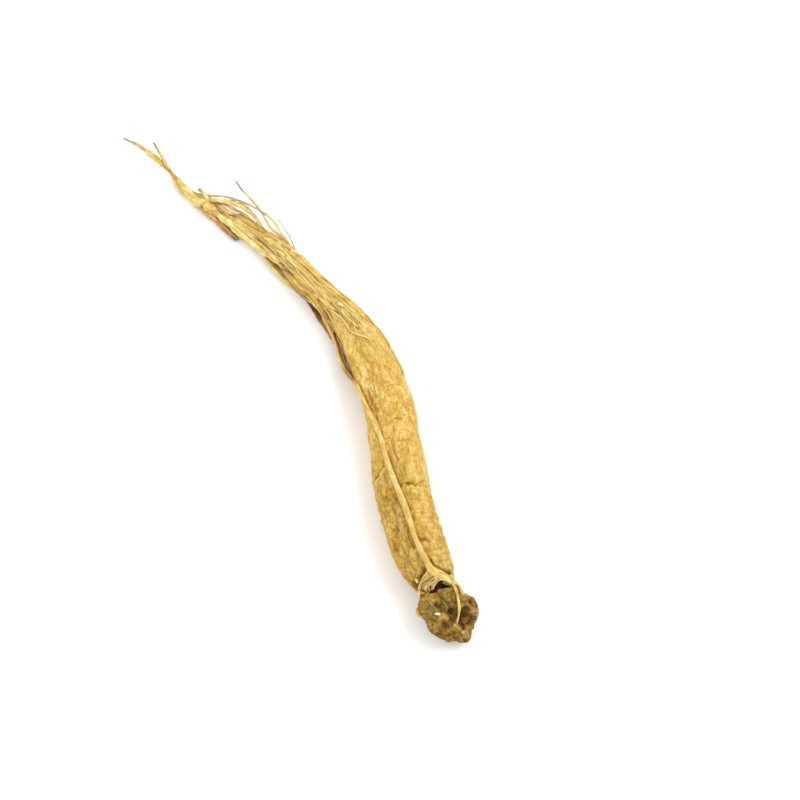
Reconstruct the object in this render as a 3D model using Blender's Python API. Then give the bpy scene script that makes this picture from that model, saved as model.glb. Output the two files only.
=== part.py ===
"""A whole dried ginseng root, lying on its side as one grown piece.

The crown (the knobbly stem end) is at +X and the thin tail roots reach to -X. The root rests on
Z = 0. A body of round, wrinkled sections carries the crown, one long side root that grows from the
neck and lies along the body, and a tail bundle of rootlets. They are all joined into one solid.
Lengths are in millimetres here, and are turned into metres where a mesh is made.
"""

import math

import bmesh
import bpy
import numpy as np
from mathutils import Matrix

MM = 0.001
NODE_NAME = "ginseng_root"

# Driving dimensions
BELLY_HALF_WIDTH = 7.9  # the thickest section, half of the root's 15.8 mm
HEIGHT_RATIO = 0.93  # a section is a little lower than it is wide
FLOOR_CUT_DEPTH = 6.0

# Stations of the body: X, Y, height of the centre, half-width as a share of BELLY_HALF_WIDTH
BODY_STATIONS = (
    (86.4, -11.2, 7.2, 0.44),
    (84.4, -10.9, 7.0, 0.42),
    (82.6, -10.6, 6.9, 0.46),
    (81.2, -10.3, 6.9, 0.62),
    (79.4, -9.9, 6.95, 0.77),
    (76.9, -9.4, 7.05, 0.87),
    (72.5, -8.7, 7.1, 0.955),
    (66.0, -7.1, 7.2, 0.985),
    (58.0, -4.6, 7.45, 0.985),
    (48.9, -0.7, 7.85, 1.0),
    (43.5, 1.7, 7.5, 0.955),
    (39.0, 3.4, 7.1, 0.925),
    (31.2, 6.9, 7.2, 0.94),
    (20.3, 9.9, 6.95, 0.88),
    (10.8, 11.8, 6.5, 0.82),
    (-1.0, 12.9, 5.15, 0.65),
    (-13.3, 11.8, 4.2, 0.50),
    (-24.7, 10.2, 3.8, 0.44),
    (-34.1, 8.8, 3.5, 0.34),
    (-43.0, 6.2, 3.1, 0.21),
    (-52.0, 3.0, 2.6, 0.12),
)
BODY_COLUMNS = 30
FINE_ROW_STEP = 1.05  # along the shoulder, where rings crease the skin
COARSE_ROW_STEP = 2.3  # along the rest of the body
RINGED_FROM_X = 44.0

# Creases of the skin: height of the ring wrinkles and of the lengthwise ridges
RING_HEIGHT = 0.17
RING_PITCH = 3.3
RIDGE_HEIGHT = 0.30
TAIL_RIDGE_HEIGHT = 0.50

# Scars and dents of the body: X, angle from the top towards -Y, height, half-length, half-angle
SCARS = (
    (54.8, -8.0, -0.60, 0.8, 16.0),
    (55.9, -11.0, 0.45, 1.0, 12.0),
    (50.2, 59.0, -0.50, 1.1, 14.0),
    (42.9, -30.0, -0.40, 0.8, 22.0),
    (41.8, -17.0, 0.35, 1.0, 14.0),
    (35.5, -13.0, -0.30, 0.7, 12.0),
    (71.2, -5.0, -0.35, 0.9, 12.0),
    (70.1, 56.0, -0.35, 1.4, 16.0),
    (78.6, 21.0, -0.70, 0.9, 9.0),
    (4.0, 76.0, -0.70, 9.0, 18.0),
    (-26.0, -53.0, 0.45, 1.2, 14.0),
    (20.5, -71.0, 0.50, 2.4, 16.0),
    (37.5, 140.0, 0.60, 2.0, 20.0),
    (57.0, -120.0, 0.55, 1.8, 20.0),
    (66.0, 122.0, -0.50, 1.2, 26.0),
)

# The crown: its centre, and each lobe's centre and radius about it
CROWN_CENTRE = (90.0, -11.8, 7.4)
CROWN_LOBES = (
    (-3.1, -1.9, 0.8, 4.75),
    (2.0, -0.3, -1.4, 4.8),
    (1.1, 3.0, 0.0, 4.5),
    (0.6, -1.9, -0.8, 4.5),
    (5.4, 0.7, -3.2, 2.4),
    (-2.7, 1.1, 2.1, 3.5),
    (-1.5, 1.5, -3.2, 4.3),
    (2.2, 2.2, -2.8, 3.6),
    (0.2, -1.4, -3.3, 4.1),
)
CROWN_ROWS = 20
CROWN_COLUMNS = 28
# Stem scars: direction in the crown's own axes, angular radius, depth of the bowl, height of its rim
STEM_SCARS = (
    ((0.73, 0.34, 0.59), 0.46, 1.7, 0.5),
    ((0.55, -0.68, 0.48), 0.28, 0.9, 0.4),
    ((0.24, -0.09, 0.97), 0.34, 0.9, 0.2),
    ((-0.24, -0.76, 0.61), 0.40, 0.6, 0.2),
    ((0.29, 0.80, 0.50), 0.26, 0.8, 0.3),
    ((0.95, -0.20, -0.25), 0.34, 1.1, 0.4),
    ((0.35, 0.75, -0.56), 0.32, 1.0, 0.4),
    ((-0.10, -0.80, -0.60), 0.30, 0.8, 0.3),
)

# The side root. On the body: X, angle from the top towards -Y, radius
SIDE_ROOT_ON_BODY = (
    (79.2, 3.0, 1.25),
    (76.5, 8.0, 1.00),
    (70.8, 10.0, 0.86),
    (65.0, 9.0, 0.90),
    (60.5, 10.0, 1.08),
    (55.0, 16.5, 0.98),
    (48.1, 28.0, 0.80),
    (41.0, 33.5, 0.76),
    (35.5, 41.0, 0.74),
    (31.0, 53.0, 0.72),
    (26.0, 62.0, 0.70),
    (20.5, 68.5, 0.66),
)
# Beside the body, and for every rootlet: X, Y, height of the centre, radius
SIDE_ROOT_BESIDE_BODY = (
    (16.4, 3.8, 7.2, 0.62),
    (13.1, 3.7, 6.3, 0.56),
    (9.5, 4.3, 5.4, 0.53),
    (5.5, 5.4, 4.4, 0.50),
    (1.7, 6.9, 3.5, 0.52),
    (-2.2, 7.9, 2.8, 0.65),
    (-7.1, 8.8, 2.3, 0.74),
    (-11.9, 9.5, 2.2, 0.70),
    (-16.4, 9.7, 2.2, 0.68),
    (-19.9, 8.7, 2.4, 0.60),
    (-24.4, 7.4, 2.5, 0.55),
    (-29.2, 6.2, 2.5, 0.50),
    (-34.6, 5.2, 2.7, 0.50),
)
ROOTLETS = {
    "under_strand": (
        (-1.4, 7.5, 1.2, 0.48),
        (-6.2, 7.9, 0.9, 0.51),
        (-10.4, 8.2, 0.9, 0.74),
        (-14.1, 8.6, 0.9, 0.74),
        (-17.5, 8.3, 0.9, 0.66),
        (-21.1, 7.6, 1.0, 0.66),
        (-24.3, 6.5, 1.2, 0.61),
        (-28.1, 5.6, 1.5, 0.61),
        (-31.7, 5.3, 1.9, 0.64),
        (-35.4, 4.9, 2.2, 0.58),
    ),
    "pale_strand": (
        (-24.4, 10.0, 4.0, 1.44),
        (-29.5, 8.3, 3.6, 1.52),
        (-34.6, 6.5, 3.0, 1.45),
        (-39.5, 4.9, 2.5, 1.31),
        (-43.9, 3.8, 2.3, 1.24),
        (-47.9, 2.8, 2.2, 1.39),
        (-52.1, 2.0, 2.1, 1.25),
        (-56.1, 0.7, 2.0, 1.11),
        (-60.5, -1.0, 1.9, 1.18),
    ),
    "brown_strand": (
        (-45.4, 2.0, 1.2, 0.95),
        (-48.6, 1.0, 1.2, 0.95),
        (-52.7, 0.2, 1.2, 0.88),
        (-57.1, -1.0, 1.3, 0.81),
        (-60.9, -2.2, 1.5, 0.74),
    ),
    "middle_strand": (
        (-39.7, 6.8, 3.1, 0.95),
        (-45.1, 5.5, 2.8, 0.95),
        (-49.7, 4.4, 2.6, 0.73),
        (-54.2, 2.9, 2.5, 0.81),
        (-59.7, 0.9, 2.2, 0.89),
    ),
    "upper_strand": (
        (-26.4, 12.6, 4.6, 1.59),
        (-35.4, 10.4, 4.3, 1.45),
        (-43.7, 7.8, 3.8, 1.20),
        (-47.9, 6.5, 3.6, 0.91),
        (-51.1, 5.4, 3.4, 0.62),
        (-53.5, 3.7, 3.2, 0.62),
        (-57.1, 2.4, 2.9, 0.80),
        (-60.7, 1.5, 2.6, 0.77),
        (-63.7, -0.2, 2.4, 0.68),
    ),
    "split_strand": (
        (-42.6, 8.5, 3.9, 0.58),
        (-46.1, 7.7, 4.1, 0.53),
        (-49.4, 6.9, 4.3, 0.47),
        (-52.6, 5.7, 4.2, 0.44),
        (-55.6, 4.3, 3.8, 0.44),
        (-59.0, 2.6, 3.3, 0.53),
    ),
    "low_arc": (
        (-38.8, 9.0, 3.8, 0.73),
        (-43.1, 8.7, 4.4, 0.61),
        (-46.3, 8.9, 4.9, 0.56),
        (-49.2, 8.5, 5.2, 0.64),
        (-52.4, 7.5, 5.2, 0.73),
        (-55.2, 5.7, 4.8, 0.73),
        (-58.5, 3.1, 3.9, 0.68),
        (-62.4, 0.1, 2.9, 0.62),
        (-67.5, -2.2, 2.1, 0.50),
    ),
    "high_arc": (
        (-29.3, 12.7, 4.3, 0.45),
        (-34.0, 12.4, 5.0, 0.44),
        (-38.2, 12.2, 5.9, 0.38),
        (-42.4, 12.1, 6.7, 0.36),
        (-46.1, 10.9, 7.2, 0.38),
        (-50.2, 9.1, 7.0, 0.38),
        (-54.2, 7.2, 6.2, 0.38),
        (-58.8, 4.4, 4.8, 0.35),
        (-62.4, 1.2, 3.4, 0.35),
        (-65.1, -1.1, 2.6, 0.36),
    ),
    "straight_rootlet": (
        (-33.4, 11.3, 4.4, 0.44),
        (-37.4, 11.5, 5.2, 0.41),
        (-41.1, 10.5, 5.9, 0.39),
        (-44.5, 10.6, 6.6, 0.35),
        (-47.2, 10.7, 7.1, 0.35),
        (-52.1, 9.9, 8.2, 0.34),
        (-55.5, 9.2, 9.0, 0.32),
        (-58.3, 9.1, 9.8, 0.30),
    ),
    "stub_rootlet": (
        (-59.0, 2.0, 2.8, 0.55),
        (-62.0, 0.8, 3.6, 0.63),
        (-63.6, 0.4, 4.2, 0.56),
        (-64.9, -0.3, 4.9, 0.44),
    ),
    "tail": (
        (-56.0, 0.9, 2.3, 1.20),
        (-60.6, -0.6, 2.0, 1.60),
        (-66.3, -2.6, 1.8, 1.41),
        (-72.0, -3.3, 1.8, 1.27),
        (-75.0, -3.4, 1.8, 0.67),
        (-77.6, -3.5, 1.9, 0.56),
        (-80.4, -4.0, 2.0, 0.84),
        (-84.6, -5.4, 2.6, 0.81),
        (-88.9, -7.0, 3.4, 0.60),
        (-93.6, -10.3, 4.5, 0.30),
    ),
    "tail_fork": (
        (-77.0, -3.5, 1.9, 0.50),
        (-79.7, -3.4, 2.6, 0.58),
        (-82.7, -3.5, 4.2, 0.45),
        (-86.4, -3.5, 5.8, 0.32),
    ),
    "tail_flap": (
        (-60.0, 0.6, 1.7, 0.90),
        (-62.6, -2.0, 1.4, 1.04),
        (-62.8, -3.6, 1.0, 0.72),
    ),
    "collar_top": (
        (77.6, -11.0, 13.0, 1.00),
        (80.1, -10.6, 13.2, 1.20),
        (81.7, -9.4, 12.9, 1.25),
        (83.2, -8.2, 12.2, 1.10),
        (85.4, -7.3, 11.2, 0.80),
    ),
    "collar_flesh": (
        (79.4, -12.0, 12.6, 0.90),
        (81.0, -11.4, 12.7, 0.95),
        (82.3, -9.7, 12.4, 0.95),
        (83.8, -8.0, 11.5, 0.80),
    ),
    "collar_rim": (
        (84.4, -7.2, 10.8, 0.70),
        (82.9, -8.6, 11.8, 0.75),
        (82.4, -10.4, 12.2, 0.75),
        (82.5, -12.0, 11.8, 0.65),
        (83.6, -14.2, 10.2, 0.55),
    ),
    "collar_left": (
        (79.2, -10.6, 13.2, 0.90),
        (80.1, -13.0, 12.6, 0.85),
        (80.4, -14.6, 11.0, 0.80),
        (81.0, -15.1, 8.8, 0.70),
        (81.3, -14.8, 5.6, 0.70),
        (81.0, -12.8, 3.0, 0.75),
    ),
    "collar_under": (
        (81.2, -14.4, 4.2, 0.70),
        (80.9, -10.6, 2.3, 0.80),
        (81.1, -6.6, 3.6, 0.75),
        (81.4, -5.7, 6.4, 0.75),
        (82.2, -6.5, 9.0, 0.75),
        (83.8, -7.5, 10.8, 0.75),
    ),
    "collar_to_crown": (
        (83.4, -7.4, 10.9, 0.80),
        (85.2, -6.8, 10.4, 0.90),
        (87.0, -6.7, 9.9, 1.00),
        (89.4, -6.8, 9.3, 1.10),
    ),
    "collar_fibre_1": (
        (80.2, -13.2, 12.4, 0.45),
        (80.7, -14.9, 10.8, 0.42),
        (82.4, -15.9, 9.2, 0.45),
        (84.8, -15.6, 8.4, 0.50),
    ),
    "collar_fibre_2": (
        (80.8, -12.4, 12.6, 0.45),
        (81.9, -14.1, 11.2, 0.42),
        (84.4, -15.4, 9.6, 0.50),
    ),
    "collar_fibre_3": (
        (80.4, -15.4, 9.8, 0.45),
        (82.0, -14.3, 11.2, 0.42),
        (83.2, -12.4, 11.6, 0.45),
    ),
    "crown_thread": (
        (83.6, -7.6, 11.8, 0.75),
        (86.4, -7.7, 11.5, 0.58),
        (88.9, -8.6, 12.1, 0.52),
        (91.3, -9.7, 12.2, 0.50),
        (93.1, -10.7, 11.6, 0.50),
        (94.5, -12.2, 9.8, 0.50),
    ),
}
ROOTLET_STEP = 2.4  # spacing of the sections along a rootlet
COLLAR_STEP = 1.3  # the same along the collar's flesh and fibres
ROOTLET_SIDES = 6
SIDE_ROOT_SIDES = 8

SKIN = (0.76, 0.56, 0.27, 1.0)
SKIN_ROUGHNESS = 0.72


def hermite(knots, values, at):
    """Smooth curve through values at increasing knots, with the slope of the neighbours at each."""
    knots = np.asarray(knots, float)
    values = np.asarray(values, float)
    slopes = np.gradient(values, knots, axis=0)
    i = np.clip(np.searchsorted(knots, at) - 1, 0, len(knots) - 2)
    gap = knots[i + 1] - knots[i]
    t = (at - knots[i]) / gap
    if values.ndim > 1:
        t, gap = t[:, None], gap[:, None]
    rise = 3 * t**2 - 2 * t**3
    return (
        values[i] * (1 - rise)
        + values[i + 1] * rise
        + gap * (slopes[i] * (t - 2 * t**2 + t**3) + slopes[i + 1] * (t**3 - t**2))
    )


def body_line(x):
    """Centre (as rows of X, Y, Z) and half-width of the body at each x."""
    table = np.array(BODY_STATIONS)[::-1]
    along = hermite(table[:, 0], table[:, 1:], x)
    centre = np.column_stack([x, along[:, 0], along[:, 1]])
    return centre, along[:, 2] * BELLY_HALF_WIDTH


def body_axes(x):
    """Level unit vector to the -Y side and unit vector upwards, both square to the body's line."""
    step = 0.5
    ahead, _ = body_line(x + step)
    behind, _ = body_line(x - step)
    tangent = ahead - behind
    tangent /= np.linalg.norm(tangent, axis=1)[:, None]
    side = np.cross(tangent, (0.0, 0.0, 1.0))
    side /= np.linalg.norm(side, axis=1)[:, None]
    return side, np.cross(side, tangent)


def ramp(value, start, end):
    """0 before start and 1 after end, smooth in between."""
    t = np.clip((value - start) / (end - start), 0.0, 1.0)
    return t * t * (3 - 2 * t)


def skin_relief(x, angle):
    """How far the skin stands out at x and angle: facets, ring wrinkles, lengthwise ridges, scars."""
    facets = (
        0.045 * np.cos(2 * angle - 0.6 + 0.5 * np.sin(x / 19.0))
        + 0.035 * np.cos(3 * angle + 1.4 + 0.9 * np.sin(x / 27.0 + 1.0))
        + 0.02 * np.cos(5 * angle + x / 13.0)
        + 0.02 * np.sin(x / 5.3 + 2.0 * np.cos(angle + 0.4))
    )
    _, half_width = body_line(x.ravel())
    relief = facets * half_width.reshape(x.shape)
    ringed = ramp(x, 36.0, 56.0) * (0.55 + 0.45 * np.cos(angle + 0.9))
    wobble = 0.9 * np.sin(angle + x / 11.0) + 0.6 * np.sin(2 * angle + 0.7)
    relief += RING_HEIGHT * ringed * np.sin(2 * math.pi * x / RING_PITCH + wobble)
    tailward = ramp(-x, -22.0, 14.0)
    ridge_height = RIDGE_HEIGHT + (TAIL_RIDGE_HEIGHT - RIDGE_HEIGHT) * tailward
    ridge_height = ridge_height * ramp(x, -56.0, -40.0)
    meander = 0.7 * np.sin(x / 17.0) + 0.35 * np.sin(x / 7.1 + 0.8)
    ridges = 0.6 * np.cos(6 * angle + meander) + 0.4 * np.cos(4 * angle - 1.3 * meander + 2.0)
    relief += ridge_height * ridges
    for scar_x, scar_angle, height, half_length, half_angle in SCARS:
        around = np.angle(np.exp(1j * (angle - math.radians(scar_angle))))
        away = ((x - scar_x) / half_length) ** 2 + (around / math.radians(half_angle)) ** 2
        relief += height * np.exp(-away)
    return relief


def body_surface(x, angle, lift=0.0):
    """Points of the body's skin, lift above it, for arrays of x and of angle from the top."""
    flat = x.ravel()
    centre, half_width = body_line(flat)
    side, up = body_axes(flat)
    shape = (*x.shape, 3)
    radius = half_width.reshape(x.shape) + skin_relief(x, angle) + lift
    across = (radius * np.sin(angle))[..., None] * side.reshape(shape)
    upward = (radius * HEIGHT_RATIO * np.cos(angle))[..., None] * up.reshape(shape)
    return centre.reshape(shape) + across + upward


def grid_mesh(name, rows):
    """Closed mesh over a grid of rings, each end closed by a fan about its mean point."""
    count, around = rows.shape[:2]
    points = np.concatenate([rows.reshape(-1, 3), rows[0].mean(0)[None], rows[-1].mean(0)[None]])
    i, j = np.meshgrid(np.arange(count - 1), np.arange(around), indexing="ij")
    k = (j + 1) % around
    quads = np.stack([i * around + j, i * around + k, (i + 1) * around + k, (i + 1) * around + j], -1)
    ring = np.arange(around)
    after = (ring + 1) % around
    first, last = count * around, count * around + 1
    start_fan = np.stack([np.full(around, first), after, ring], -1)
    end_fan = np.stack([np.full(around, last), ring, after], -1)
    end_fan[:, 1:] += (count - 1) * around
    faces = [*quads.reshape(-1, 4).tolist(), *start_fan.tolist(), *end_fan.tolist()]
    mesh = bpy.data.meshes.new(name)
    mesh.from_pydata((points * MM).tolist(), [], faces)
    outward = bmesh.new()
    outward.from_mesh(mesh)
    bmesh.ops.recalc_face_normals(outward, faces=outward.faces)
    outward.to_mesh(mesh)
    outward.free()
    return mesh


def body_mesh():
    """The wrinkled body, its rows closer together along the ringed shoulder."""
    ends = BODY_STATIONS[0][0], BODY_STATIONS[-1][0]
    x = np.concatenate(
        [
            np.arange(ends[0], RINGED_FROM_X, -FINE_ROW_STEP),
            np.arange(RINGED_FROM_X, ends[1], -COARSE_ROW_STEP),
        ]
    )
    angle = np.linspace(0, 2 * math.pi, BODY_COLUMNS, endpoint=False)
    return grid_mesh("body", body_surface(*np.meshgrid(x, angle, indexing="ij")))


def crown_reach(direction):
    """Distance from the crown's centre to its skin: the lobes' outer surface, less the stem scars."""
    reach = np.zeros(direction.shape[:-1])
    sharpness = 3.0
    for *offset, radius in CROWN_LOBES:
        offset = np.array(offset)
        along = direction @ offset
        inside = along**2 - offset @ offset + radius**2
        edge = along + np.sqrt(np.maximum(inside, 0.0))
        reach += np.where(inside > 0, np.exp(sharpness * edge), 0.0)
    reach = np.log(reach) / sharpness
    for scar, spread, depth, rim in STEM_SCARS:
        scar = np.array(scar) / np.linalg.norm(scar)
        away = np.arccos(np.clip(direction @ scar, -1, 1)) / spread
        reach -= depth * (1 - ramp(away, 0.25, 1.0))
        reach += rim * np.exp(-(((away - 1.15) / 0.28) ** 2))
    turn = np.arctan2(direction[..., 1], direction[..., 2])
    reach += 0.22 * np.sin(7 * turn + 5 * direction[..., 0]) * np.sqrt(1 - direction[..., 0] ** 2)
    return reach


def crown_mesh():
    """The crown over a globe of directions whose poles lie along X."""
    polar = (np.arange(CROWN_ROWS) + 0.5) / CROWN_ROWS * math.pi
    turn = np.linspace(0, 2 * math.pi, CROWN_COLUMNS, endpoint=False)
    polar, turn = np.meshgrid(polar, turn, indexing="ij")
    direction = np.stack(
        [np.cos(polar), np.sin(polar) * np.sin(turn), np.sin(polar) * np.cos(turn)], -1
    )
    reach = crown_reach(direction)
    return grid_mesh("crown", np.array(CROWN_CENTRE) + direction * reach[..., None])


def tube_mesh(name, route, sides=ROOTLET_SIDES, step=ROOTLET_STEP):
    """A tapering rootlet: rings square to a smooth line through the route's points."""
    route = np.array(route, float)
    knots = np.concatenate([[0], np.cumsum(np.linalg.norm(np.diff(route[:, :3], axis=0), axis=1))])
    count = max(4, round(knots[-1] / step) + 1)
    at = np.linspace(0, knots[-1], count)
    line = hermite(knots, route, at)
    centre, radius = line[:, :3], line[:, 3]
    to_end = np.minimum(at, knots[-1] - at)
    radius = radius * np.sqrt(np.clip(0.3 + to_end / radius, 0.3, 1.0))
    tangent = np.gradient(centre, axis=0)
    tangent /= np.linalg.norm(tangent, axis=1)[:, None]
    side = np.cross(tangent, (0.0, 0.0, 1.0))
    side /= np.linalg.norm(side, axis=1)[:, None]
    up = np.cross(side, tangent)
    turn = np.linspace(0, 2 * math.pi, sides, endpoint=False)
    swell = 1 + 0.10 * np.sin(at[:, None] * 1.1 + 2 * turn) + 0.06 * np.sin(at[:, None] * 2.3)
    reach = radius[:, None] * swell
    rings = (
        centre[:, None]
        + (reach * np.cos(turn))[..., None] * side[:, None]
        + (reach * np.sin(turn))[..., None] * up[:, None]
    )
    return grid_mesh(name, rings)


def side_root_route():
    """The long side root: on the body's skin from the neck, then down beside the body to the tail."""
    x, degrees, radius = np.array(SIDE_ROOT_ON_BODY).T
    on_skin = body_surface(x, np.radians(degrees), lift=0.25 * radius)
    return np.vstack([np.column_stack([on_skin, radius]), SIDE_ROOT_BESIDE_BODY])


def floor_cutter():
    """A slab under Z = 0 that trims the belly, crown and tail to small flat resting spots."""
    mesh = bpy.data.meshes.new("floor_cutter")
    slab = bmesh.new()
    bmesh.ops.create_cube(slab, size=1.0)
    bmesh.ops.scale(slab, vec=(0.4, 0.2, FLOOR_CUT_DEPTH * MM), verts=slab.verts)
    bmesh.ops.translate(slab, vec=(0, 0, -FLOOR_CUT_DEPTH * MM / 2), verts=slab.verts)
    slab.to_mesh(mesh)
    slab.free()
    cutter = bpy.data.objects.new("floor_cutter", mesh)
    bpy.context.scene.collection.objects.link(cutter)
    cutter.hide_render = True
    cutter.display_type = "WIRE"
    return cutter


def root_material():
    """Pale yellow dried skin."""
    material = bpy.data.materials.new("dried_root_skin")
    material.use_nodes = True
    shader = material.node_tree.nodes["Principled BSDF"]
    shader.inputs["Base Color"].default_value = SKIN
    shader.inputs["Roughness"].default_value = SKIN_ROUGHNESS
    shader.inputs["Metallic"].default_value = 0.0
    return material


def apply_boolean(target, name, operation, **operand):
    """Runs one Boolean on target and keeps its result as target's mesh."""
    modifier = target.modifiers.new(name, "BOOLEAN")
    modifier.operation = operation
    modifier.solver = "EXACT"
    for key, value in operand.items():
        setattr(modifier, key, value)
    graph = bpy.context.evaluated_depsgraph_get()
    result = bpy.data.meshes.new_from_object(target.evaluated_get(graph))
    target.modifiers.remove(modifier)
    target.data = result


def keep_largest_shell(mesh):
    """Fills the hollows that the union sealed, and drops loose scraps: only the largest shell stays."""
    shells = bmesh.new()
    shells.from_mesh(mesh)
    bmesh.ops.triangulate(shells, faces=shells.faces)
    unseen = set(shells.faces)
    found = []
    while unseen:
        shell, edge = set(), {unseen.pop()}
        while edge:
            shell |= edge
            edge = {n for f in edge for e in f.edges for n in e.link_faces} - shell
        unseen -= shell
        found.append(shell)
    found.sort(key=len)
    for shell in found[:-1]:
        bmesh.ops.delete(shells, geom=list(shell), context="FACES")
    shells.to_mesh(mesh)
    shells.free()


def join_growths(body):
    """Joins the crown, the collar and the rootlets to the body in one union."""
    meshes = [crown_mesh(), tube_mesh("side_root", side_root_route(), SIDE_ROOT_SIDES)]
    for name, route in ROOTLETS.items():
        step = COLLAR_STEP if name.startswith("collar") else ROOTLET_STEP
        meshes.append(tube_mesh(name, route, step=step))
    growths = bpy.data.collections.new("growths")
    bpy.context.scene.collection.children.link(growths)
    for mesh in meshes:
        growths.objects.link(bpy.data.objects.new(mesh.name, mesh))
    apply_boolean(body, "join", "UNION", operand_type="COLLECTION", collection=growths)
    keep_largest_shell(body.data)
    for grown in list(growths.objects):
        bpy.data.objects.remove(grown)
    bpy.data.collections.remove(growths)


def centre_over_origin(mesh):
    """Moves the mesh level, so that the middle of its bounding box is on the Z axis."""
    points = np.array([vertex.co for vertex in mesh.vertices])
    middle = (points.min(0) + points.max(0)) / 2
    mesh.transform(Matrix.Translation((-middle[0], -middle[1], 0.0)))


def main():
    for old in list(bpy.data.objects):
        bpy.data.objects.remove(old)
    root = bpy.data.objects.new(NODE_NAME, body_mesh())
    bpy.context.scene.collection.objects.link(root)
    join_growths(root)
    cutter = floor_cutter()
    apply_boolean(root, "rest", "DIFFERENCE", object=cutter)
    bpy.data.objects.remove(cutter)
    centre_over_origin(root.data)
    root.data.materials.clear()
    root.data.materials.append(root_material())
    root.data.shade_smooth()
    root.data.set_sharp_from_angle(angle=math.radians(50))


main()
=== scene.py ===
"""The look of a dried ginseng root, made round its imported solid.

The root lies along X with its crown at +X, and rests on Z = 0. The solid is hidden, and finer pieces
stand for it: the wrinkled body, the crown, the side root, the collar at the neck, the tail's
rootlets, loose hairs and flakes of skin. Stations, routes and marks are in millimetres, in the
solid's own axes before it was centred, and in_frame() turns them into metres in the frame.
"""

import itertools
import math

import bpy
import numpy as np
from bpy.props import FloatProperty, FloatVectorProperty, IntProperty, PointerProperty
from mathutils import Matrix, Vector


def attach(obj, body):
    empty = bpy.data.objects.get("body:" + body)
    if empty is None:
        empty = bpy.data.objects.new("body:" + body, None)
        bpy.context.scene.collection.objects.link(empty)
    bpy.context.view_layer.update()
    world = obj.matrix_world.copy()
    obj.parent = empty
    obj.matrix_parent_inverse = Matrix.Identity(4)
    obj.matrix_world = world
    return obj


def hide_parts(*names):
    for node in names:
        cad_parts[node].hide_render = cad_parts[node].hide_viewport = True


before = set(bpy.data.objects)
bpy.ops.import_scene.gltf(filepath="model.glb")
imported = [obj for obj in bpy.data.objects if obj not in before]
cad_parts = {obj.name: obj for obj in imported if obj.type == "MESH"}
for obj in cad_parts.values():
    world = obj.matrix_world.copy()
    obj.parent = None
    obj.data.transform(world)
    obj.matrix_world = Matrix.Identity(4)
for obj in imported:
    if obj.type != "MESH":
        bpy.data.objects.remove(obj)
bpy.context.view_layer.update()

bl_info = {
    "name": "Dried Ginseng Root",
    "version": (1, 0, 0),
    "blender": (4, 5, 0),
    "location": "View3D > Sidebar > Ginseng",
    "description": "Builds the finished look of a dried ginseng root round its solid",
    "category": "Add Mesh",
}

MM = 0.001
NODE = "ginseng_root"
BODY = "root"
CENTRING = np.array([-2.1383, 0.3110, 0.0])  # from the routes' zero to the middle of the solid's box

# Stations of the body: X, Y, height of the centre, half-width as a share of the thickest
BODY_STATIONS = (
    (86.4, -11.2, 7.2, 0.44), (84.4, -10.9, 7, 0.42), (82.6, -10.6, 6.9, 0.46),
    (81.2, -10.3, 6.9, 0.62), (79.4, -9.9, 6.95, 0.77), (76.9, -9.4, 7.05, 0.87),
    (72.5, -8.7, 7.1, 0.955), (66, -7.1, 7.2, 0.985), (58, -4.6, 7.45, 0.985), (48.9, -0.7, 7.85, 1),
    (43.5, 1.7, 7.5, 0.955), (39, 3.4, 7.1, 0.925), (31.2, 6.9, 7.2, 0.94), (20.3, 9.9, 6.95, 0.88),
    (10.8, 11.8, 6.5, 0.82), (-1, 12.9, 5.15, 0.65), (-13.3, 11.8, 4.2, 0.5), (-24.7, 10.2, 3.8, 0.44),
    (-34.1, 8.8, 3.5, 0.34), (-43, 6.2, 3.1, 0.21), (-52, 3, 2.6, 0.12),
)
HEIGHT_RATIO = 0.93  # a section is a little lower than it is wide
# X, and the X that patterns on the skin read there: wrinkles draw out towards the tail
TAIL_STRETCH = ((-52, -18.4), (-16, -4), (24, 24), (90, 90))
# Colours along the body: X and name. The dark neck tone at the end is painted shade in the pit between
# the neck and the crown.
BODY_TONES = (
    (-52, "pale"), (-20, "gold"), (8, "upper"), (38, "belly"), (70, "shoulder"), (79, "shoulder"),
    (81.5, "neck"),
)

# Scars and dents that the solid has: X, angle from the top towards -Y, height, half-length, half-angle
SCARS = (
    (54.8, -8, -0.6, 0.8, 16), (55.9, -11, 0.45, 1, 12), (50.2, 59, -0.5, 1.1, 14),
    (42.9, -30, -0.4, 0.8, 22), (41.8, -17, 0.35, 1, 14), (35.5, -13, -0.3, 0.7, 12),
    (71.2, -5, -0.35, 0.9, 12), (70.1, 56, -0.35, 1.4, 16), (78.6, 21, -0.7, 0.9, 9),
    (4, 76, -0.7, 9, 18), (-26, -53, 0.45, 1.2, 14), (20.5, -71, 0.5, 2.4, 16),
    (37.5, 140, 0.6, 2, 20), (57, -120, 0.55, 1.8, 20), (66, 122, -0.5, 1.2, 26),
)
RING_HEIGHT = 0.17
RING_PITCH = 3.3
FINE_RING_PITCH = 1.45
RIDGE_HEIGHT = 0.3
TAIL_RIDGE_HEIGHT = 0.5
SWELL_MIDDLE = 0.45  # a wrinkled skin's mean swell, which leaves the piece's size as it is
# Painted shade on a skin where it lies close to another strand or the body
CONTACT_DARKNESS = 0.5  # of the skin where two strands touch

# Families of wrinkles: pitch along and across, width of a crease as a share of the noise, its depth,
# height of the swell between creases, darkness of the crease (its brown and painted shade), share on
# the shoulder and on the tail
BODY_FOLDS = (
    (9, 1.25, 0.1, 0.12, 0.22, 0.4, 0.1, 1.3), (4.6, 0.6, 0.13, 0.07, 0.08, 0.35, 0.3, 1.3),
    (2.8, 2, 0.08, 0.12, 0.18, 0.32, 1, 0.15), (1.1, 0.7, 0.12, 0.08, 0.08, 0.46, 1, 0.2),
)
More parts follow.
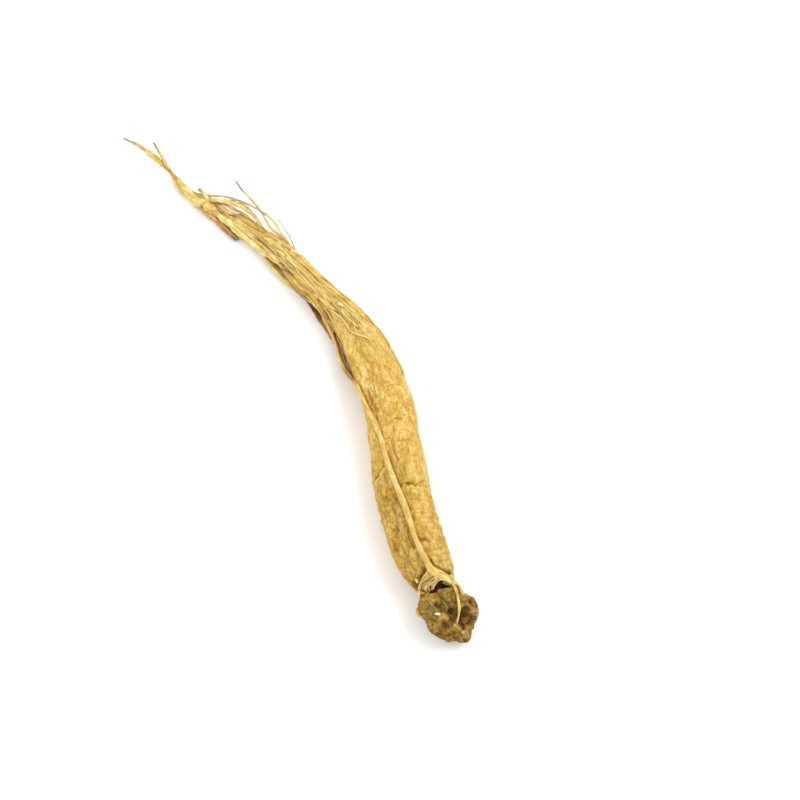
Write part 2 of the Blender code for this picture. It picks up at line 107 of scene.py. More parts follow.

# Cracks, creases and bumps: half-width, depth, darkness (brown and painted shade in a crack; below 0,
# painted light on a raised lip), places (X, degrees from the top towards -Y)
BODY_MARKS = (
    (0.2, 0.35, 0.8, (54.4, 2), (54.6, -5), (54.7, -16)), (0.32, 0.4, 1, (54.55, -4), (54.65, -8)),
    (0.19, 0.2, 0.55, (54.7, -12), (55.6, -17), (54.9, -24), (53.9, -40)),
    (0.6, -0.28, -0.15, (55.9, -1), (56.1, -13)), (0.55, -0.25, -0.4, (53.4, 0), (53.3, -32)),
    (0.42, 0.2, 0.85, (55.3, 12), (54.7, 7)), (0.34, 0.45, 1, (50.5, 78), (50.1, 60)),
    (0.2, 0.12, 0.35, (50.1, 60), (48.9, 38)), (0.45, -0.2, -0.25, (49.2, 60), (48, 44)),
    (0.2, 0.15, 0.5, (49.6, -2), (51.6, -1), (53.4, -3)),
    (0.2, 0.15, 0.5, (45.7, 13), (47.2, 9), (48.7, 5)),
    (0.2, 0.2, 0.75, (36.2, -3), (36, -9), (36.3, -15)), (0.32, -0.15, -0.45, (37, -4), (37.2, -14)),
    (0.3, 0.12, 0.35, (35.6, 6), (36.6, 2)), (0.34, -0.25, -0.6, (42.6, -8), (42.7, -18)),
    (0.26, 0.28, 0.6, (43.2, -19), (43.2, -30), (43.9, -39)),
    (0.34, 0.14, 0.35, (43.4, -3), (43.5, -14)), (0.24, 0.12, 0.4, (45.7, -17), (46.6, -18)),
    (0.4, 0.15, 0.45, (42.8, 12), (44.5, 13)), (0.36, 0.18, 0.65, (48, 38), (48.9, 40)),
    (0.3, 0.14, 0.5, (50.4, 34), (51.6, 33)), (0.38, 0.22, 0.7, (56.6, 47), (57.4, 43), (57.6, 38)),
    (0.26, 0.14, 0.45, (60, 39), (61, 35)), (0.42, 0.22, 0.75, (65.4, 41), (66.2, 37)),
    (0.42, 0.2, 0.6, (68.7, 62), (70.4, 58)), (0.5, 0.15, 0.45, (59.6, 62), (61, 59)),
    (0.24, 0.15, 0.5, (62, 26), (63.2, 23), (63.3, 17)), (0.34, 0.15, 0.55, (57, 27), (58.6, 24)),
    (0.42, 0.2, 0.6, (64.6, 21), (66.6, 19)), (0.34, 0.25, 0.8, (67.4, 19), (71.4, 21), (72.6, 20)),
    (0.34, 0.15, 0.65, (64.2, 3), (65.3, 0)),
    (0.36, 0.3, 0.7, (69.8, 7), (71, 2), (70.9, -8), (71.9, -17)),
    (0.4, 0.12, 0.4, (73.4, 1), (74.4, -5)), (0.36, 0.3, 0.8, (76, 2), (77.4, -1)),
    (0.46, 0.5, 0.95, (77.2, 0), (78.3, -4), (78.9, -12), (79.8, -28), (80.5, -50), (80.9, -95)),
    (0.28, 0.16, 0.6, (74.8, 60), (74, 52), (74.6, 44)),
    (0.3, 0.16, 0.6, (75.2, 46), (75.9, 42), (77.6, 41)),
    (0.62, 0.6, 1, (78.2, 20), (78.9, 26), (79.3, 36)),
    (0.46, 0.3, 0.8, (79.3, 36), (79.5, 51), (79.7, 65), (80, 90)),
    (0.9, 0.1, 0.65, (80.2, 60), (80.6, 80), (80.6, 100)), (0.26, 0.1, 0.3, (54.4, 40), (57, 48)),
    (0.6, 0.15, 0.5, (58.1, 83), (60.7, 95)), (0.22, 0.12, 0.45, (19, 30), (19.9, 26)),
    (0.2, 0.12, 0.42, (20.6, 18), (22.4, 20), (23.4, 26)), (0.28, 0.12, 0.45, (12.1, 60), (12.8, 56)),
    (0.22, 0.12, 0.4, (12, -10), (12.2, -18)), (0.42, 0.18, 0.55, (3.6, 9), (5.2, 4), (6.4, 1)),
    (0.4, 0.12, 0.4, (0.4, -34), (2.4, -32)), (0.3, 0.12, 0.4, (-3.9, 20), (-2.6, 21)),
    (0.44, 0.3, 0.85, (-7.5, 52), (-5.2, 58), (-3.5, 80), (-1, 100), (1.9, 108)),
    (0.32, 0.25, 0.8, (1.9, 104), (5.7, 92), (8.2, 98), (11.6, 101), (14, 100)),
    (0.34, 0.25, 0.75, (14, 96), (16, 90), (18.5, 96), (20.4, 92)),
    (0.26, 0.2, 0.6, (-22.3, 52), (-19.7, 55), (-17.4, 49), (-14.5, 42)),
    (0.34, 0.3, 0.9, (-11.9, 49), (-10.2, 50), (-8.5, 51)),
    (0.22, 0.12, 0.45, (-15.2, 39), (-13.5, 35)),
    (0.2, 0.14, 0.45, (-12.4, 22), (-7.2, 14), (-5.7, 14)),
    (0.24, 0.2, 0.6, (-35.6, 9), (-33, 11), (-29.4, 2)),
    (0.26, 0.25, 0.8, (-36, -60), (-31.8, -38), (-29.7, -36)),
    (0.7, 0.15, 0.5, (-29, 66), (-26, 60), (-23, 55)), (0.24, 0.2, 0.55, (-26.5, 40), (-23.5, 46)),
    (0.42, 0.4, 0.85, (-29.3, 92), (-27.5, 74), (-25.8, 58), (-23.6, 53)),
    (0.3, 0.25, 0.7, (-29.5, 59), (-27, 45), (-24.8, 43)),
    (0.34, 0.25, 0.8, (-42, 44), (-38, 48), (-33.9, 45), (-31, 38)),
    (0.26, 0.25, 0.75, (-8.5, 50), (-5.3, 49), (-2.3, 52)),
    (0.22, 0.18, 0.6, (-7.5, 17), (-4.5, 11), (-1.6, 12)),
    (0.22, 0.2, 0.55, (-20.9, 42), (-17.7, 40), (-15, 36)),
    # Among the marks below, painted shade: the wide ones of little or no depth from 60 to 92 degrees, on
    # the -Y flank, and the narrow one just inside the loose hair from -56 to -66 degrees
    (0.9, 0.1, 0.2, (26.4, 47), (30.2, 40), (34.3, 33)),
    (0.24, 0.2, 0.6, (27, 44), (30.2, 37), (33, 31)), (1.5, 0.1, 0.4, (0, 84), (8, 80), (17, 78)),
    (0.9, 0.12, 0.3, (60, 32), (64, 30), (67, 44)), (1.2, 0, 0.3, (53, 90), (60, 92), (68, 84)),
    (0.26, 0.15, 0.6, (3, -56), (9.2, -64), (15.6, -66), (24, -58)),
    (1.3, 0, 0.58, (-7, 60), (-2, 72), (3, 82)), (0.36, 0.12, 0.5, (56.3, 20), (58.2, 21), (60.1, 20)),
    (0.42, 0.12, 0.5, (58.1, 66), (59.7, 67), (60.6, 74)),
    (0.32, 0.2, 0.7, (75.8, 84), (78.3, 70), (80, 61)), (0.36, 0.12, 0.5, (60.6, 3), (62, 2)),
    (0.42, 0.12, 0.5, (73.8, 20), (75.5, 23)), (0.32, 0.12, 0.45, (71.7, 60), (72.6, 52), (73.6, 49)),
    (0.32, 0.12, 0.45, (68.4, 56), (69.5, 63), (70.8, 58)),
    (0.34, 0.15, 0.6, (20.8, 57), (23.8, 58), (26.2, 54), (28.9, 51)),
    (0.32, 0.15, 0.6, (25.2, 42), (27.7, 42), (30, 43)),
    (0.28, 0.12, 0.5, (25.5, 27), (27.2, 28), (28.8, 30)),
    (0.32, 0.15, 0.55, (30.6, 39), (32.6, 37), (35, 35)), (0.34, 0.12, 0.5, (21.9, 31), (23.8, 28)),
    (0.28, 0.12, 0.45, (23.3, 21), (24.9, 26)), (0.26, 0.12, 0.5, (49.7, -4), (51.4, -4), (53.6, -5)),
    (0.28, 0.12, 0.4, (49.8, 3), (51.7, 4), (53.5, 2)), (0.24, 0.12, 0.45, (46.3, 12), (48.7, 6)),
    (0.55, 0.1, 0.5, (47.8, 21), (50, 18), (52, 16), (54.2, 11)),
    (0.4, 0.1, 0.35, (51.1, 41), (53.3, 34), (55.2, 31)), (0.3, 0.1, 0.35, (57.3, 8), (57.3, -3)),
)

# The crown: its centre, each lobe's centre about it and radius, and its stem scars
CROWN_CENTRE = (90.0, -11.8, 7.4)
CROWN_LOBES = (
    (-3.1, -1.9, 0.8, 4.75), (2, -0.3, -1.4, 4.8), (1.1, 3, 0, 4.5), (0.6, -1.9, -0.8, 4.5),
    (5.4, 0.7, -3.2, 2.4), (-2.7, 1.1, 2.1, 3.5), (-1.5, 1.5, -3.2, 4.3), (2.2, 2.2, -2.8, 3.6),
    (0.2, -1.4, -3.3, 4.1),
)
# Stem scars: direction from the crown's centre, angular radius, depth of the bowl, height of its rim
STEM_SCARS = (
    ((0.73, 0.34, 0.59), 0.46, 1.7, 0.5), ((0.55, -0.68, 0.48), 0.28, 0.9, 0.4),
    ((0.24, -0.09, 0.97), 0.34, 0.9, 0.2), ((-0.24, -0.76, 0.61), 0.4, 0.6, 0.2),
    ((0.29, 0.8, 0.5), 0.26, 0.8, 0.3), ((0.95, -0.2, -0.25), 0.34, 1.1, 0.4),
    ((0.35, 0.75, -0.56), 0.32, 1, 0.4), ((-0.1, -0.8, -0.6), 0.3, 0.8, 0.3),
)
CROWN_SKIN_RADIUS = 7  # of the ball that patterns on the crown read
# Families of wrinkles: pitch, width of a crease, its depth, height of the swell, darkness of the crease
# (its brown and painted shade)
CROWN_FOLDS = (
    (3.4, 0.1, 0.2, 0.22, 0.45), (1.5, 0.1, 0.08, 0.07, 0.3), (0.55, 0.18, 0.04, 0.04, 0.22),
)
# Patches of colour on the crown, laid over each other in order: direction, angular radius, colour,
# strength, gloss. The darkest patches are painted shade in the crown's gaps, most of them in the pit
# towards the neck, and the small pale and tip patches near +X are in part a painted glint.
CROWN_PATCHES = (
    ((-0.78, -0.48, 0.4), 0.3, "earth", 0.5, 0), ((1, 0.06, 0.03), 0.3, "earth", 0.5, 0),
    ((-0.44, 0.17, 0.88), 0.49, "olive", 0.8, 0), ((-0.58, -0.53, 0.61), 0.29, "straw", 0.55, 0),
    ((-0.75, -0.53, 0.4), 0.11, "earth", 0.85, 0), ((-0.56, -0.72, 0.41), 0.12, "ochre", 0.45, 0),
    ((-0.21, 0.86, 0.47), 0.27, "straw", 0.55, 0), ((0.36, 0.58, 0.73), 0.21, "rust", 0.35, 0),
    ((0.21, 0.84, 0.51), 0.13, "pith", 0.7, 0), ((0.06, 0.7, 0.71), 0.1, "straw", 0.6, 0.3),
    ((-0.21, -0.81, 0.54), 0.44, "horn", 0.95, 0.7), ((-0.49, -0.37, 0.79), 0.12, "ochre", 0.4, 0),
    ((-0.26, -0.42, 0.87), 0.14, "pith", 0.75, 0), ((0, -0.41, 0.91), 0.14, "pith", 0.5, 0),
    ((-0.17, -0.13, 0.98), 0.18, "pith", 0.6, 0), ((0.34, 0.04, 0.94), 0.36, "pith", 0.8, 0),
    ((0.02, 0.2, 0.98), 0.23, "earth", 0.8, 0), ((0.65, -0.23, 0.73), 0.19, "pith", 0.5, 0),
    ((0.33, -0.56, 0.76), 0.3, "straw", 0.85, 0), ((0.35, -0.82, 0.45), 0.2, "straw", 0.8, 0),
    ((0.22, -0.95, 0.23), 0.12, "earth", 0.4, 0), ((0.6, -0.73, 0.34), 0.26, "earth", 0.8, 0),
    ((0.6, -0.73, 0.34), 0.17, "pith", 0.45, 0), ((0.7, -0.67, 0.24), 0.1, "rust", 0.35, 0.2),
    ((0.33, -0.94, -0.08), 0.11, "ochre", 0.8, 0), ((0.59, -0.81, 0.01), 0.12, "pith", 0.6, 0),
    ((-0.03, -0.98, 0.19), 0.12, "straw", 0.8, 0.3), ((0.9, -0.22, 0.39), 0.23, "straw", 0.6, 0),
    ((0.9, -0.42, 0.15), 0.17, "earth", 0.5, 0), ((0.81, 0.45, 0.37), 0.3, "pith", 0.85, 0),
    ((0.84, 0.42, 0.34), 0.15, "horn", 0.4, 0), ((0.5, 0.52, 0.69), 0.2, "pith", 0.95, 0),
    ((0.89, 0.08, 0.45), 0.14, "pith", 0.8, 0), ((0.95, 0.13, 0.29), 0.12, "void", 0.7, 0),
    ((0.55, 0.7, 0.45), 0.16, "rust", 0.35, 0), ((0.62, 0.72, 0.32), 0.12, "rust", 0.5, 0),
    ((0.73, 0.63, 0.26), 0.1, "pith", 0.7, 0), ((0.97, 0.22, 0.12), 0.17, "straw", 0.45, 0),
    # In part a painted glint: the small pale and tip patches near +X
    ((0.97, 0.18, -0.18), 0.26, "horn", 0.55, 0.5), ((0.97, 0.14, -0.18), 0.15, "pale", 0.22, 0.5),
    ((0.94, -0.09, -0.34), 0.08, "tip", 0.6, 0.3), ((0.99, 0.01, 0.12), 0.09, "tip", 0.9, 0.5),
    # The darkest patches on this line and the next two are painted shade in the pit towards the neck
    ((0.93, 0.02, -0.37), 0.08, "pith", 0.7, 0), ((-0.77, -0.16, 0.62), 0.16, "void", 1, 0),
    ((-0.89, 0.09, 0.44), 0.24, "void", 1, 0), ((-0.84, 0.3, 0.45), 0.22, "void", 1, 0),
    ((-0.68, 0.46, 0.57), 0.14, "void", 0.85, 0), ((0.35, 0.75, -0.56), 0.28, "pith", 0.8, 0),
    ((-0.1, -0.8, -0.6), 0.3, "earth", 0.8, 0),
)

# The side root. On the body: X, degrees from the top towards -Y, radius
SIDE_ROOT_ON_BODY = (
    (79.2, 3, 1.25), (76.5, 8, 1), (70.8, 10, 0.86), (65, 9, 0.9), (60.5, 10, 1.08), (55, 16.5, 0.98),
    (48.1, 28, 0.8), (41, 33.5, 0.76), (35.5, 41, 0.74), (31, 53, 0.72), (26, 62, 0.7),
    (20.5, 68.5, 0.66),
)
# Beside the body, and for every rootlet: X, Y, height of the centre, radius
SIDE_ROOT_BESIDE_BODY = (
    (16.4, 3.8, 7.2, 0.62), (13.1, 3.7, 6.3, 0.56), (9.5, 4.3, 5.4, 0.53), (5.5, 5.4, 4.4, 0.5),
    (1.7, 6.9, 3.5, 0.52), (-2.2, 7.9, 2.8, 0.65), (-7.1, 8.8, 2.3, 0.74), (-11.9, 9.5, 2.2, 0.7),
    (-16.4, 9.7, 2.2, 0.68), (-19.9, 8.7, 2.4, 0.6), (-24.4, 7.4, 2.5, 0.55), (-29.2, 6.2, 2.5, 0.5),
    (-34.6, 5.2, 2.7, 0.5),
)
# The rootlets of the tail, as the solid has them, and a dark strand that fills the gap beside the body,
# its dark colours and stains painting the gap's shade: colours and stains, each evenly spaced from end
# to end, and route
TAIL_STRANDS = {
    # Painted shade: the dark colours and stains of the strand that fills the gap
    "gap_strand": (
        ("rust", "pith", "rust", "grey", "olive", "grey", "earth", "pith"),
        (0.9, 0.5, 0.6, 0.1, 0.9, 0.2, 0.8, 0.9),
        (-2.6, 8.7, 1.9, 0.7), (0.9, 7.9, 2.4, 1.15), (4.3, 7.1, 3, 1.3), (7.3, 6.4, 3.6, 1.25),
        (10.5, 5.5, 4.5, 1.1), (13.8, 4.9, 5.3, 0.85), (16.5, 4.4, 6, 0.55),
    ),
    "under_strand": (
        ("rust", "rust", "pith", "rust", "gold", "pale", "gold"), (0.9, 1, 0.8, 0.9, 0.4, 0.2, 0.3),
        (-1.4, 7.5, 1.2, 0.48), (-6.2, 7.9, 0.9, 0.51), (-10.4, 8.2, 0.9, 0.74),
        (-14.1, 8.6, 0.9, 0.74), (-17.5, 8.3, 0.9, 0.66), (-21.1, 7.6, 1, 0.66),
        (-24.3, 6.5, 1.2, 0.61), (-28.1, 5.6, 1.5, 0.61), (-31.7, 5.3, 1.9, 0.64),
        (-35.4, 4.9, 2.2, 0.58),
    ),
    "pale_strand": (
        ("gold", "pale", "pale", "pale"), (0.1, 0.1, 0.05, 0.15),
        (-24.4, 10, 4, 1.44), (-29.5, 8.3, 3.6, 1.52), (-34.6, 6.5, 3, 1.45), (-39.5, 4.9, 2.5, 1.31),
        (-43.9, 3.8, 2.3, 1.24), (-47.9, 2.8, 2.2, 1.39), (-52.1, 2, 2.1, 1.25), (-56.1, 0.7, 2, 1.11),
        (-60.5, -1, 1.9, 1.18),
    ),
    "brown_strand": (
        ("olive", "rust", "deep", "gold"), (0.4, 0.6, 0.8, 0.4),
        (-45.4, 2, 1.2, 0.95), (-48.6, 1, 1.2, 0.95), (-52.7, 0.2, 1.2, 0.88), (-57.1, -1, 1.3, 0.81),
        (-60.9, -2.2, 1.5, 0.74),
    ),
    "middle_strand": (
        ("gold", "gold", "pale"), (0.5, 0.4, 0.2),
        (-39.7, 6.8, 3.1, 0.95), (-45.1, 5.5, 2.8, 0.95), (-49.7, 4.4, 2.6, 0.73),
        (-54.2, 2.9, 2.5, 0.81), (-59.7, 0.9, 2.2, 0.89),
    ),
    "upper_strand": (
        ("gold", "pale", "gold", "gold", "gold", "deep", "gold", "rust", "gold"),
        (0.1, 0.1, 0.3, 0.8, 0.5, 0.8, 0.9, 1, 0.5),
        (-26.4, 12.6, 4.6, 1.59), (-35.4, 10.4, 4.3, 1.45), (-43.7, 7.8, 3.8, 1.2),
        (-47.9, 6.5, 3.6, 0.91), (-51.1, 5.4, 3.4, 0.62), (-53.5, 3.7, 3.2, 0.62),
        (-57.1, 2.4, 2.9, 0.8), (-60.7, 1.5, 2.6, 0.77), (-63.7, -0.2, 2.4, 0.68),
    ),
    "split_strand": (
        ("gold", "deep", "deep", "deep"), (0.3, 0.6, 0.7, 0.7),
        (-42.6, 8.5, 3.9, 0.58), (-46.1, 7.7, 4.1, 0.53), (-49.4, 6.9, 4.3, 0.47),
        (-52.6, 5.7, 4.2, 0.44), (-55.6, 4.3, 3.8, 0.44), (-59, 2.6, 3.3, 0.53),
    ),
    "low_arc": (
        ("gold", "gold", "pale", "gold"), (0.4, 0.3, 0.1, 0.3),
        (-38.8, 9, 3.8, 0.73), (-43.1, 8.7, 4.4, 0.61), (-46.3, 8.9, 4.9, 0.56),
        (-49.2, 8.5, 5.2, 0.64), (-52.4, 7.5, 5.2, 0.73), (-55.2, 5.7, 4.8, 0.73),
        (-58.5, 3.1, 3.9, 0.68), (-62.4, 0.1, 2.9, 0.62), (-67.5, -2.2, 2.1, 0.5),
    ),
    "high_arc": (
        ("gold", "tip", "grey", "tip"), (0.2, 0.1, 0.2, 0.1),
        (-29.3, 12.7, 4.3, 0.45), (-34, 12.4, 5, 0.44), (-38.2, 12.2, 5.9, 0.38),
        (-42.4, 12.1, 6.7, 0.36), (-46.1, 10.9, 7.2, 0.38), (-50.2, 9.1, 7, 0.38),
        (-54.2, 7.2, 6.2, 0.38), (-58.8, 4.4, 4.8, 0.35), (-62.4, 1.2, 3.4, 0.35),
        (-65.1, -1.1, 2.6, 0.36),
    ),
    "straight_rootlet": (
        ("deep", "gold", "tip", "grey"), (0.6, 0.4, 0.1, 0.2),
        (-33.4, 11.3, 4.4, 0.44), (-37.4, 11.5, 5.2, 0.41), (-41.1, 10.5, 5.9, 0.39),
        (-44.5, 10.6, 6.6, 0.35), (-47.2, 10.7, 7.1, 0.35), (-52.1, 9.9, 8.2, 0.34),
        (-55.5, 9.2, 9, 0.32), (-58.3, 9.1, 9.8, 0.3),
    ),
    "stub_rootlet": (
        ("gold", "pale", "olive"), (0.4, 0.3, 0.3),
        (-59, 2, 2.8, 0.55), (-62, 0.8, 3.6, 0.63), (-63.6, 0.4, 4.2, 0.56), (-64.9, -0.3, 4.9, 0.44),
    ),
    "tail": (
        ("gold", "gold", "pale", "gold", "deep", "gold", "gold", "tip", "grey"),
        (0.4, 0.4, 0.3, 0.5, 0.6, 0.4, 0.5, 0.4, 0.4),
        (-56, 0.9, 2.3, 1.2), (-60.6, -0.6, 2, 1.6), (-66.3, -2.6, 1.8, 1.41), (-72, -3.3, 1.8, 1.27),
        (-75, -3.4, 1.8, 0.67), (-77.6, -3.5, 1.9, 0.56), (-80.4, -4, 2, 0.84),
        (-84.6, -5.4, 2.6, 0.81), (-88.9, -7, 3.4, 0.6), (-93.6, -10.3, 4.5, 0.3),
    ),
    "tail_fork": (
        ("gold", "gold", "grey"), (0.2, 0.2, 0.4),
        (-77, -3.5, 1.9, 0.5), (-79.7, -3.4, 2.6, 0.58), (-82.7, -3.5, 4.2, 0.45),
        (-86.4, -3.5, 5.8, 0.32),
    ),
    "tail_flap": (
        ("gold", "pale"), (0.2, 0.1),
        (-60, 0.6, 1.7, 0.9), (-62.6, -2, 1.4, 1.04), (-62.8, -3.6, 1, 0.72),
    ),
}
TAIL_ROUTES = tuple(route for _, _, *route in TAIL_STRANDS.values())
# Bands of skin and fibres round the neck: colour, stain, flatness, and route
COLLAR_BANDS = {
    "flesh": (
        "pale", 0.2, 0.8, (79.5, -11.1, 12.2, 0.91), (81.2, -10, 12.3, 0.95), (82.4, -8.6, 11.9, 0.88),
        (83.8, -7.6, 11.2, 0.75),
    ),
    "foot_upper": (
        "strap", 0, 0.8, (77.9, -10.3, 13, 0.44), (79.4, -9.8, 13.3, 0.46), (80.9, -8.9, 13.2, 0.46),
        (82.3, -8, 12.8, 0.46), (83.9, -7.4, 12.2, 0.46), (85.3, -7, 11.6, 0.47),
    ),
    "foot_lower": (
        "pale", 0, 0.8, (78.8, -11.2, 13, 0.39), (80.3, -10.4, 13.2, 0.42), (81.6, -9.3, 13.1, 0.41),
        (82.9, -8.3, 12.6, 0.39), (84.3, -7.6, 12, 0.39),
    ),
    "left_band": (
        "gold", 0.35, 0.7, (79.2, -10.6, 12.7, 0.9), (80.1, -13, 12.1, 0.8), (80.6, -14.4, 10.8, 0.7),
        (81.2, -15.2, 8.8, 0.7), (81.3, -15.1, 5.6, 0.7), (81, -12.9, 3, 0.75),
    ),
    "under_band": (
        "gold", 0.4, 0.8, (81.2, -14.4, 4.2, 0.7), (80.9, -10.6, 2.3, 0.8), (81.1, -6.6, 3.6, 0.75),
        (81.4, -5.3, 6.4, 0.75), (82.2, -6.1, 9, 0.75), (83.8, -7.4, 10.8, 0.75),
    ),
    "right_band": (
        "gold", 0.3, 0.8, (83.4, -7.4, 10.9, 0.8), (85.2, -6.8, 10.4, 0.9), (87, -6.7, 9.9, 1),
        (89.4, -6.8, 9.3, 1.1),
    ),
    "web": (
        "gold", 0.45, 0.5, (81, -11.6, 12.3, 1.05), (81.4, -13.2, 11.5, 1.2),
        (82.2, -14.6, 10.2, 1.05),
    ),
    "right_fold": (
        "olive", 0.4, 0.7, (83, -9.6, 11.6, 0.4), (84, -8.7, 11.5, 0.55), (85.1, -7.8, 11.3, 0.7),
        (86.2, -7.1, 11, 0.7), (87.5, -7.2, 10.8, 0.55),
    ),
    "rim": (
        "pale", 0, 0.9, (85.6, -7.2, 11.5, 0.4), (83.8, -8.3, 12.1, 0.42), (82.7, -9.6, 12.5, 0.42),
        (82.5, -10.8, 12.4, 0.4), (82.8, -12, 11.9, 0.36), (83.6, -13, 11.1, 0.34),
    ),
    "fan_outer": (
        "strap", 0, 0.85, (81, -9.9, 13.3, 0.36), (80.7, -11.2, 13.1, 0.38), (80.5, -12.6, 12.7, 0.38),
        (80.4, -14.1, 12, 0.36), (80.9, -15, 11.2, 0.34), (81.7, -15.7, 10.1, 0.32),
    ),
    "fan_middle": (
        "strap", 0, 0.9, (81.9, -10.1, 13, 0.34), (81.4, -11.8, 12.7, 0.34), (81.3, -13.1, 12.2, 0.32),
        (81.3, -14.2, 11.5, 0.3), (82, -14.9, 10.7, 0.28),
    ),
    "fan_inner": (
        "strap", 0, 0.9, (82.4, -10.2, 12.8, 0.34), (82.3, -11.6, 12.4, 0.34), (82.3, -12.7, 12, 0.32),
        (82.6, -13.5, 11.4, 0.3), (82.9, -14.6, 10.7, 0.3),
    ),
    "net_right": (
        "strap", 0, 1, (82.1, -12.4, 12.2, 0.26), (83, -12.5, 11.6, 0.26), (83.8, -13.4, 11, 0.26),
    ),
    "net_middle": (
        "strap", 0, 1, (81.3, -13.3, 12.1, 0.24), (82.6, -13.3, 11.5, 0.24), (83.6, -13.8, 10.8, 0.24),
    ),
    "net_foot": (
        "strap", 0.05, 1, (81.7, -15.7, 10.1, 0.3), (82.9, -15, 10.3, 0.32), (83.7, -14, 10.7, 0.32),
        (83.8, -13, 11.2, 0.34),
    ),
    "crown_fibre_left": (
        "straw", 0.1, 1, (83.8, -13.2, 11.2, 0.29), (84.1, -14.9, 10.9, 0.28), (85, -16.4, 10.5, 0.28),
        (86.2, -17.6, 9.9, 0.26),
    ),
    "crown_fibre_top": (
        "olive", 0.2, 1, (83.8, -13.2, 11.2, 0.29), (86.4, -13.1, 12.4, 0.26),
        (88.8, -12.8, 12.8, 0.26), (90.6, -12.6, 12.4, 0.23),
    ),
    "crown_thread": (
        "gold", 0.25, 0.85, (84.2, -7.6, 12.2, 0.44), (85.6, -7.6, 12, 0.42), (87.3, -8, 12.3, 0.4),
        (89.4, -8.8, 12.6, 0.38), (91.1, -9.6, 12.4, 0.35), (92.5, -10.4, 11.8, 0.33),
        (93.7, -11.5, 11, 0.32), (94.7, -12.8, 9.9, 0.26),
    ),
}
# The side root's start in the collar, and its colours from there to its thin end, evenly spaced
SIDE_ROOT_FOOT = (
    (85.6, -7.2, 11.3, 0.6), (83.4, -8.1, 12, 0.86), (81.7, -9.4, 12.6, 1.02),
    (80.3, -10.3, 12.9, 1.08),
)
SIDE_ROOT_COLOURS = (
    "pale", *("strap",) * 14, "rust", "ochre", "gold", *("strap",) * 5, "gold", "deep", "rust", "deep"
)
SIDE_ROOT_STAINS = (*(0.05,) * 8, 0.3, 1)
NECK = (82, -10.4, 7)  # the point that the collar's bands wrap round
# Loose hairs and thin rootlets on the skin, as routes of X, degrees from the top, lift and radius
SKIN_HAIRS = (
    (
        (-9.5, 12, 0.1, 0.26), (-4.8, 12, 0.3, 0.28), (0, 11, 0.3, 0.28), (3.5, 6, 0.2, 0.26),
        (6.1, 1, 0, 0.2),
    ),
    (
        (-6, 33, 0.1, 0.26), (0, 24, 0.3, 0.28), (3, 23, 0.35, 0.28), (5.8, 21, 0.35, 0.28),
        (7.5, 14, 0.35, 0.28), (8.7, 8, 0.3, 0.28), (10, 0, 0.3, 0.28), (10.9, -5, 0.35, 0.28),
        (11.8, -7, 0.35, 0.28), (12.4, -4, 0.15, 0.24),
    ),
    (
        (3, -62, 0, 0.22), (5.8, -68, 0.1, 0.3), (9.2, -72, 0.15, 0.36), (12.2, -74, 0.15, 0.38),
        (15.6, -74, 0.12, 0.36), (20, -71, 0.05, 0.28), (24, -66, -0.15, 0.2),
    ),
    ((-30, -20, 0.1, 0.24), (-22, -26, 0.2, 0.26), (-12, -30, 0.2, 0.24), (-4, -34, 0, 0.18)),
    ((-24, 8, 0.1, 0.24), (-16, 14, 0.2, 0.26), (-9, 18, 0.1, 0.22)),
    ((-14, -10, 0, 0.18), (-7, -16, 0.15, 0.2), (0, -18, 0, 0.16)),
    ((-20, -2, 0, 0.18), (-11, 0, 0.12, 0.2), (-3, -4, 0, 0.16)),
)
SKIN_CLEARANCE = 0.1
# Fine fibres on the tail's skin: seed, how many, first and last X, radius, and colours in turn
FIBRE_SEED = 5
FIBRE_COUNT = 90
FIBRE_SPAN = (-46.0, 6.0)
FIBRE_RADIUS = (0.10, 0.20)
FIBRE_COLOURS = ("pale", "gold", "strap", "deep")
# A loose hair away from the skin: X, Y, height, radius
FREE_HAIR = (
    (-30.4, 12.7, 4.9, 0.2), (-33, 13.4, 4.9, 0.18), (-36, 13.9, 5.2, 0.16), (-39, 13.8, 5.7, 0.14),
    (-42.3, 13.9, 6.4, 0.12),
)
# Papery flakes of skin on the body: colour, and route as for the hairs
BODY_FLAKES = (
    ("gold", (59.6, 96, -0.3, 0.26), (60.3, 97, 0.05, 0.34), (61.2, 96, -0.3, 0.24)),
    ("paper", (62.2, 96, -0.2, 0.2), (62.7, 98, 0.4, 0.22), (63.2, 96, -0.2, 0.18)),
    ("gold", (65.3, 93, -0.4, 0.26), (66, 94, -0.05, 0.32), (66.7, 93, -0.4, 0.22)),
    ("gold", (69, 93, -0.4, 0.28), (69.9, 94, 0, 0.34), (70.8, 93, -0.4, 0.24)),
    ("gold", (49.4, 96, -0.4, 0.24), (50, 97, -0.05, 0.28), (50.5, 96, -0.4, 0.22)),
    ("pale", (-26.4, -60, -0.2, 0.26), (-25.8, -64, 0.5, 0.34), (-25.2, -60, -0.2, 0.24)),
    ("tip", (-24.6, -58, -0.2, 0.22), (-24.2, -64, 0.6, 0.28), (-23.8, -58, -0.2, 0.2)),
    ("paper", (-5.8, 4, 0, 0.22), (-4.9, 0, 0.3, 0.4), (-3.6, -4, 0, 0.24)),
)
# Flakes at the neck and the crown: colour, and route as for the strands. The white one on the crown is
# in part a painted glint.
CROWN_FLAKES = (
    ("tip", (78.7, -15, 11.7, 0.18), (79.3, -15.1, 11.7, 0.29), (80, -15.1, 11.3, 0.18)),
    ("ochre", (84.6, -18.2, 8.2, 0.3), (85.9, -18.6, 8.6, 0.62), (87.2, -18.8, 8.3, 0.46)),
    # In part a painted glint: the white flake on the crown
    ("paper", (89.5, -16, 11.3, 0.2), (90.1, -15.4, 11.7, 0.36), (90.7, -14.9, 11.9, 0.2)),
)
FLAKE_FLATNESS = 0.45

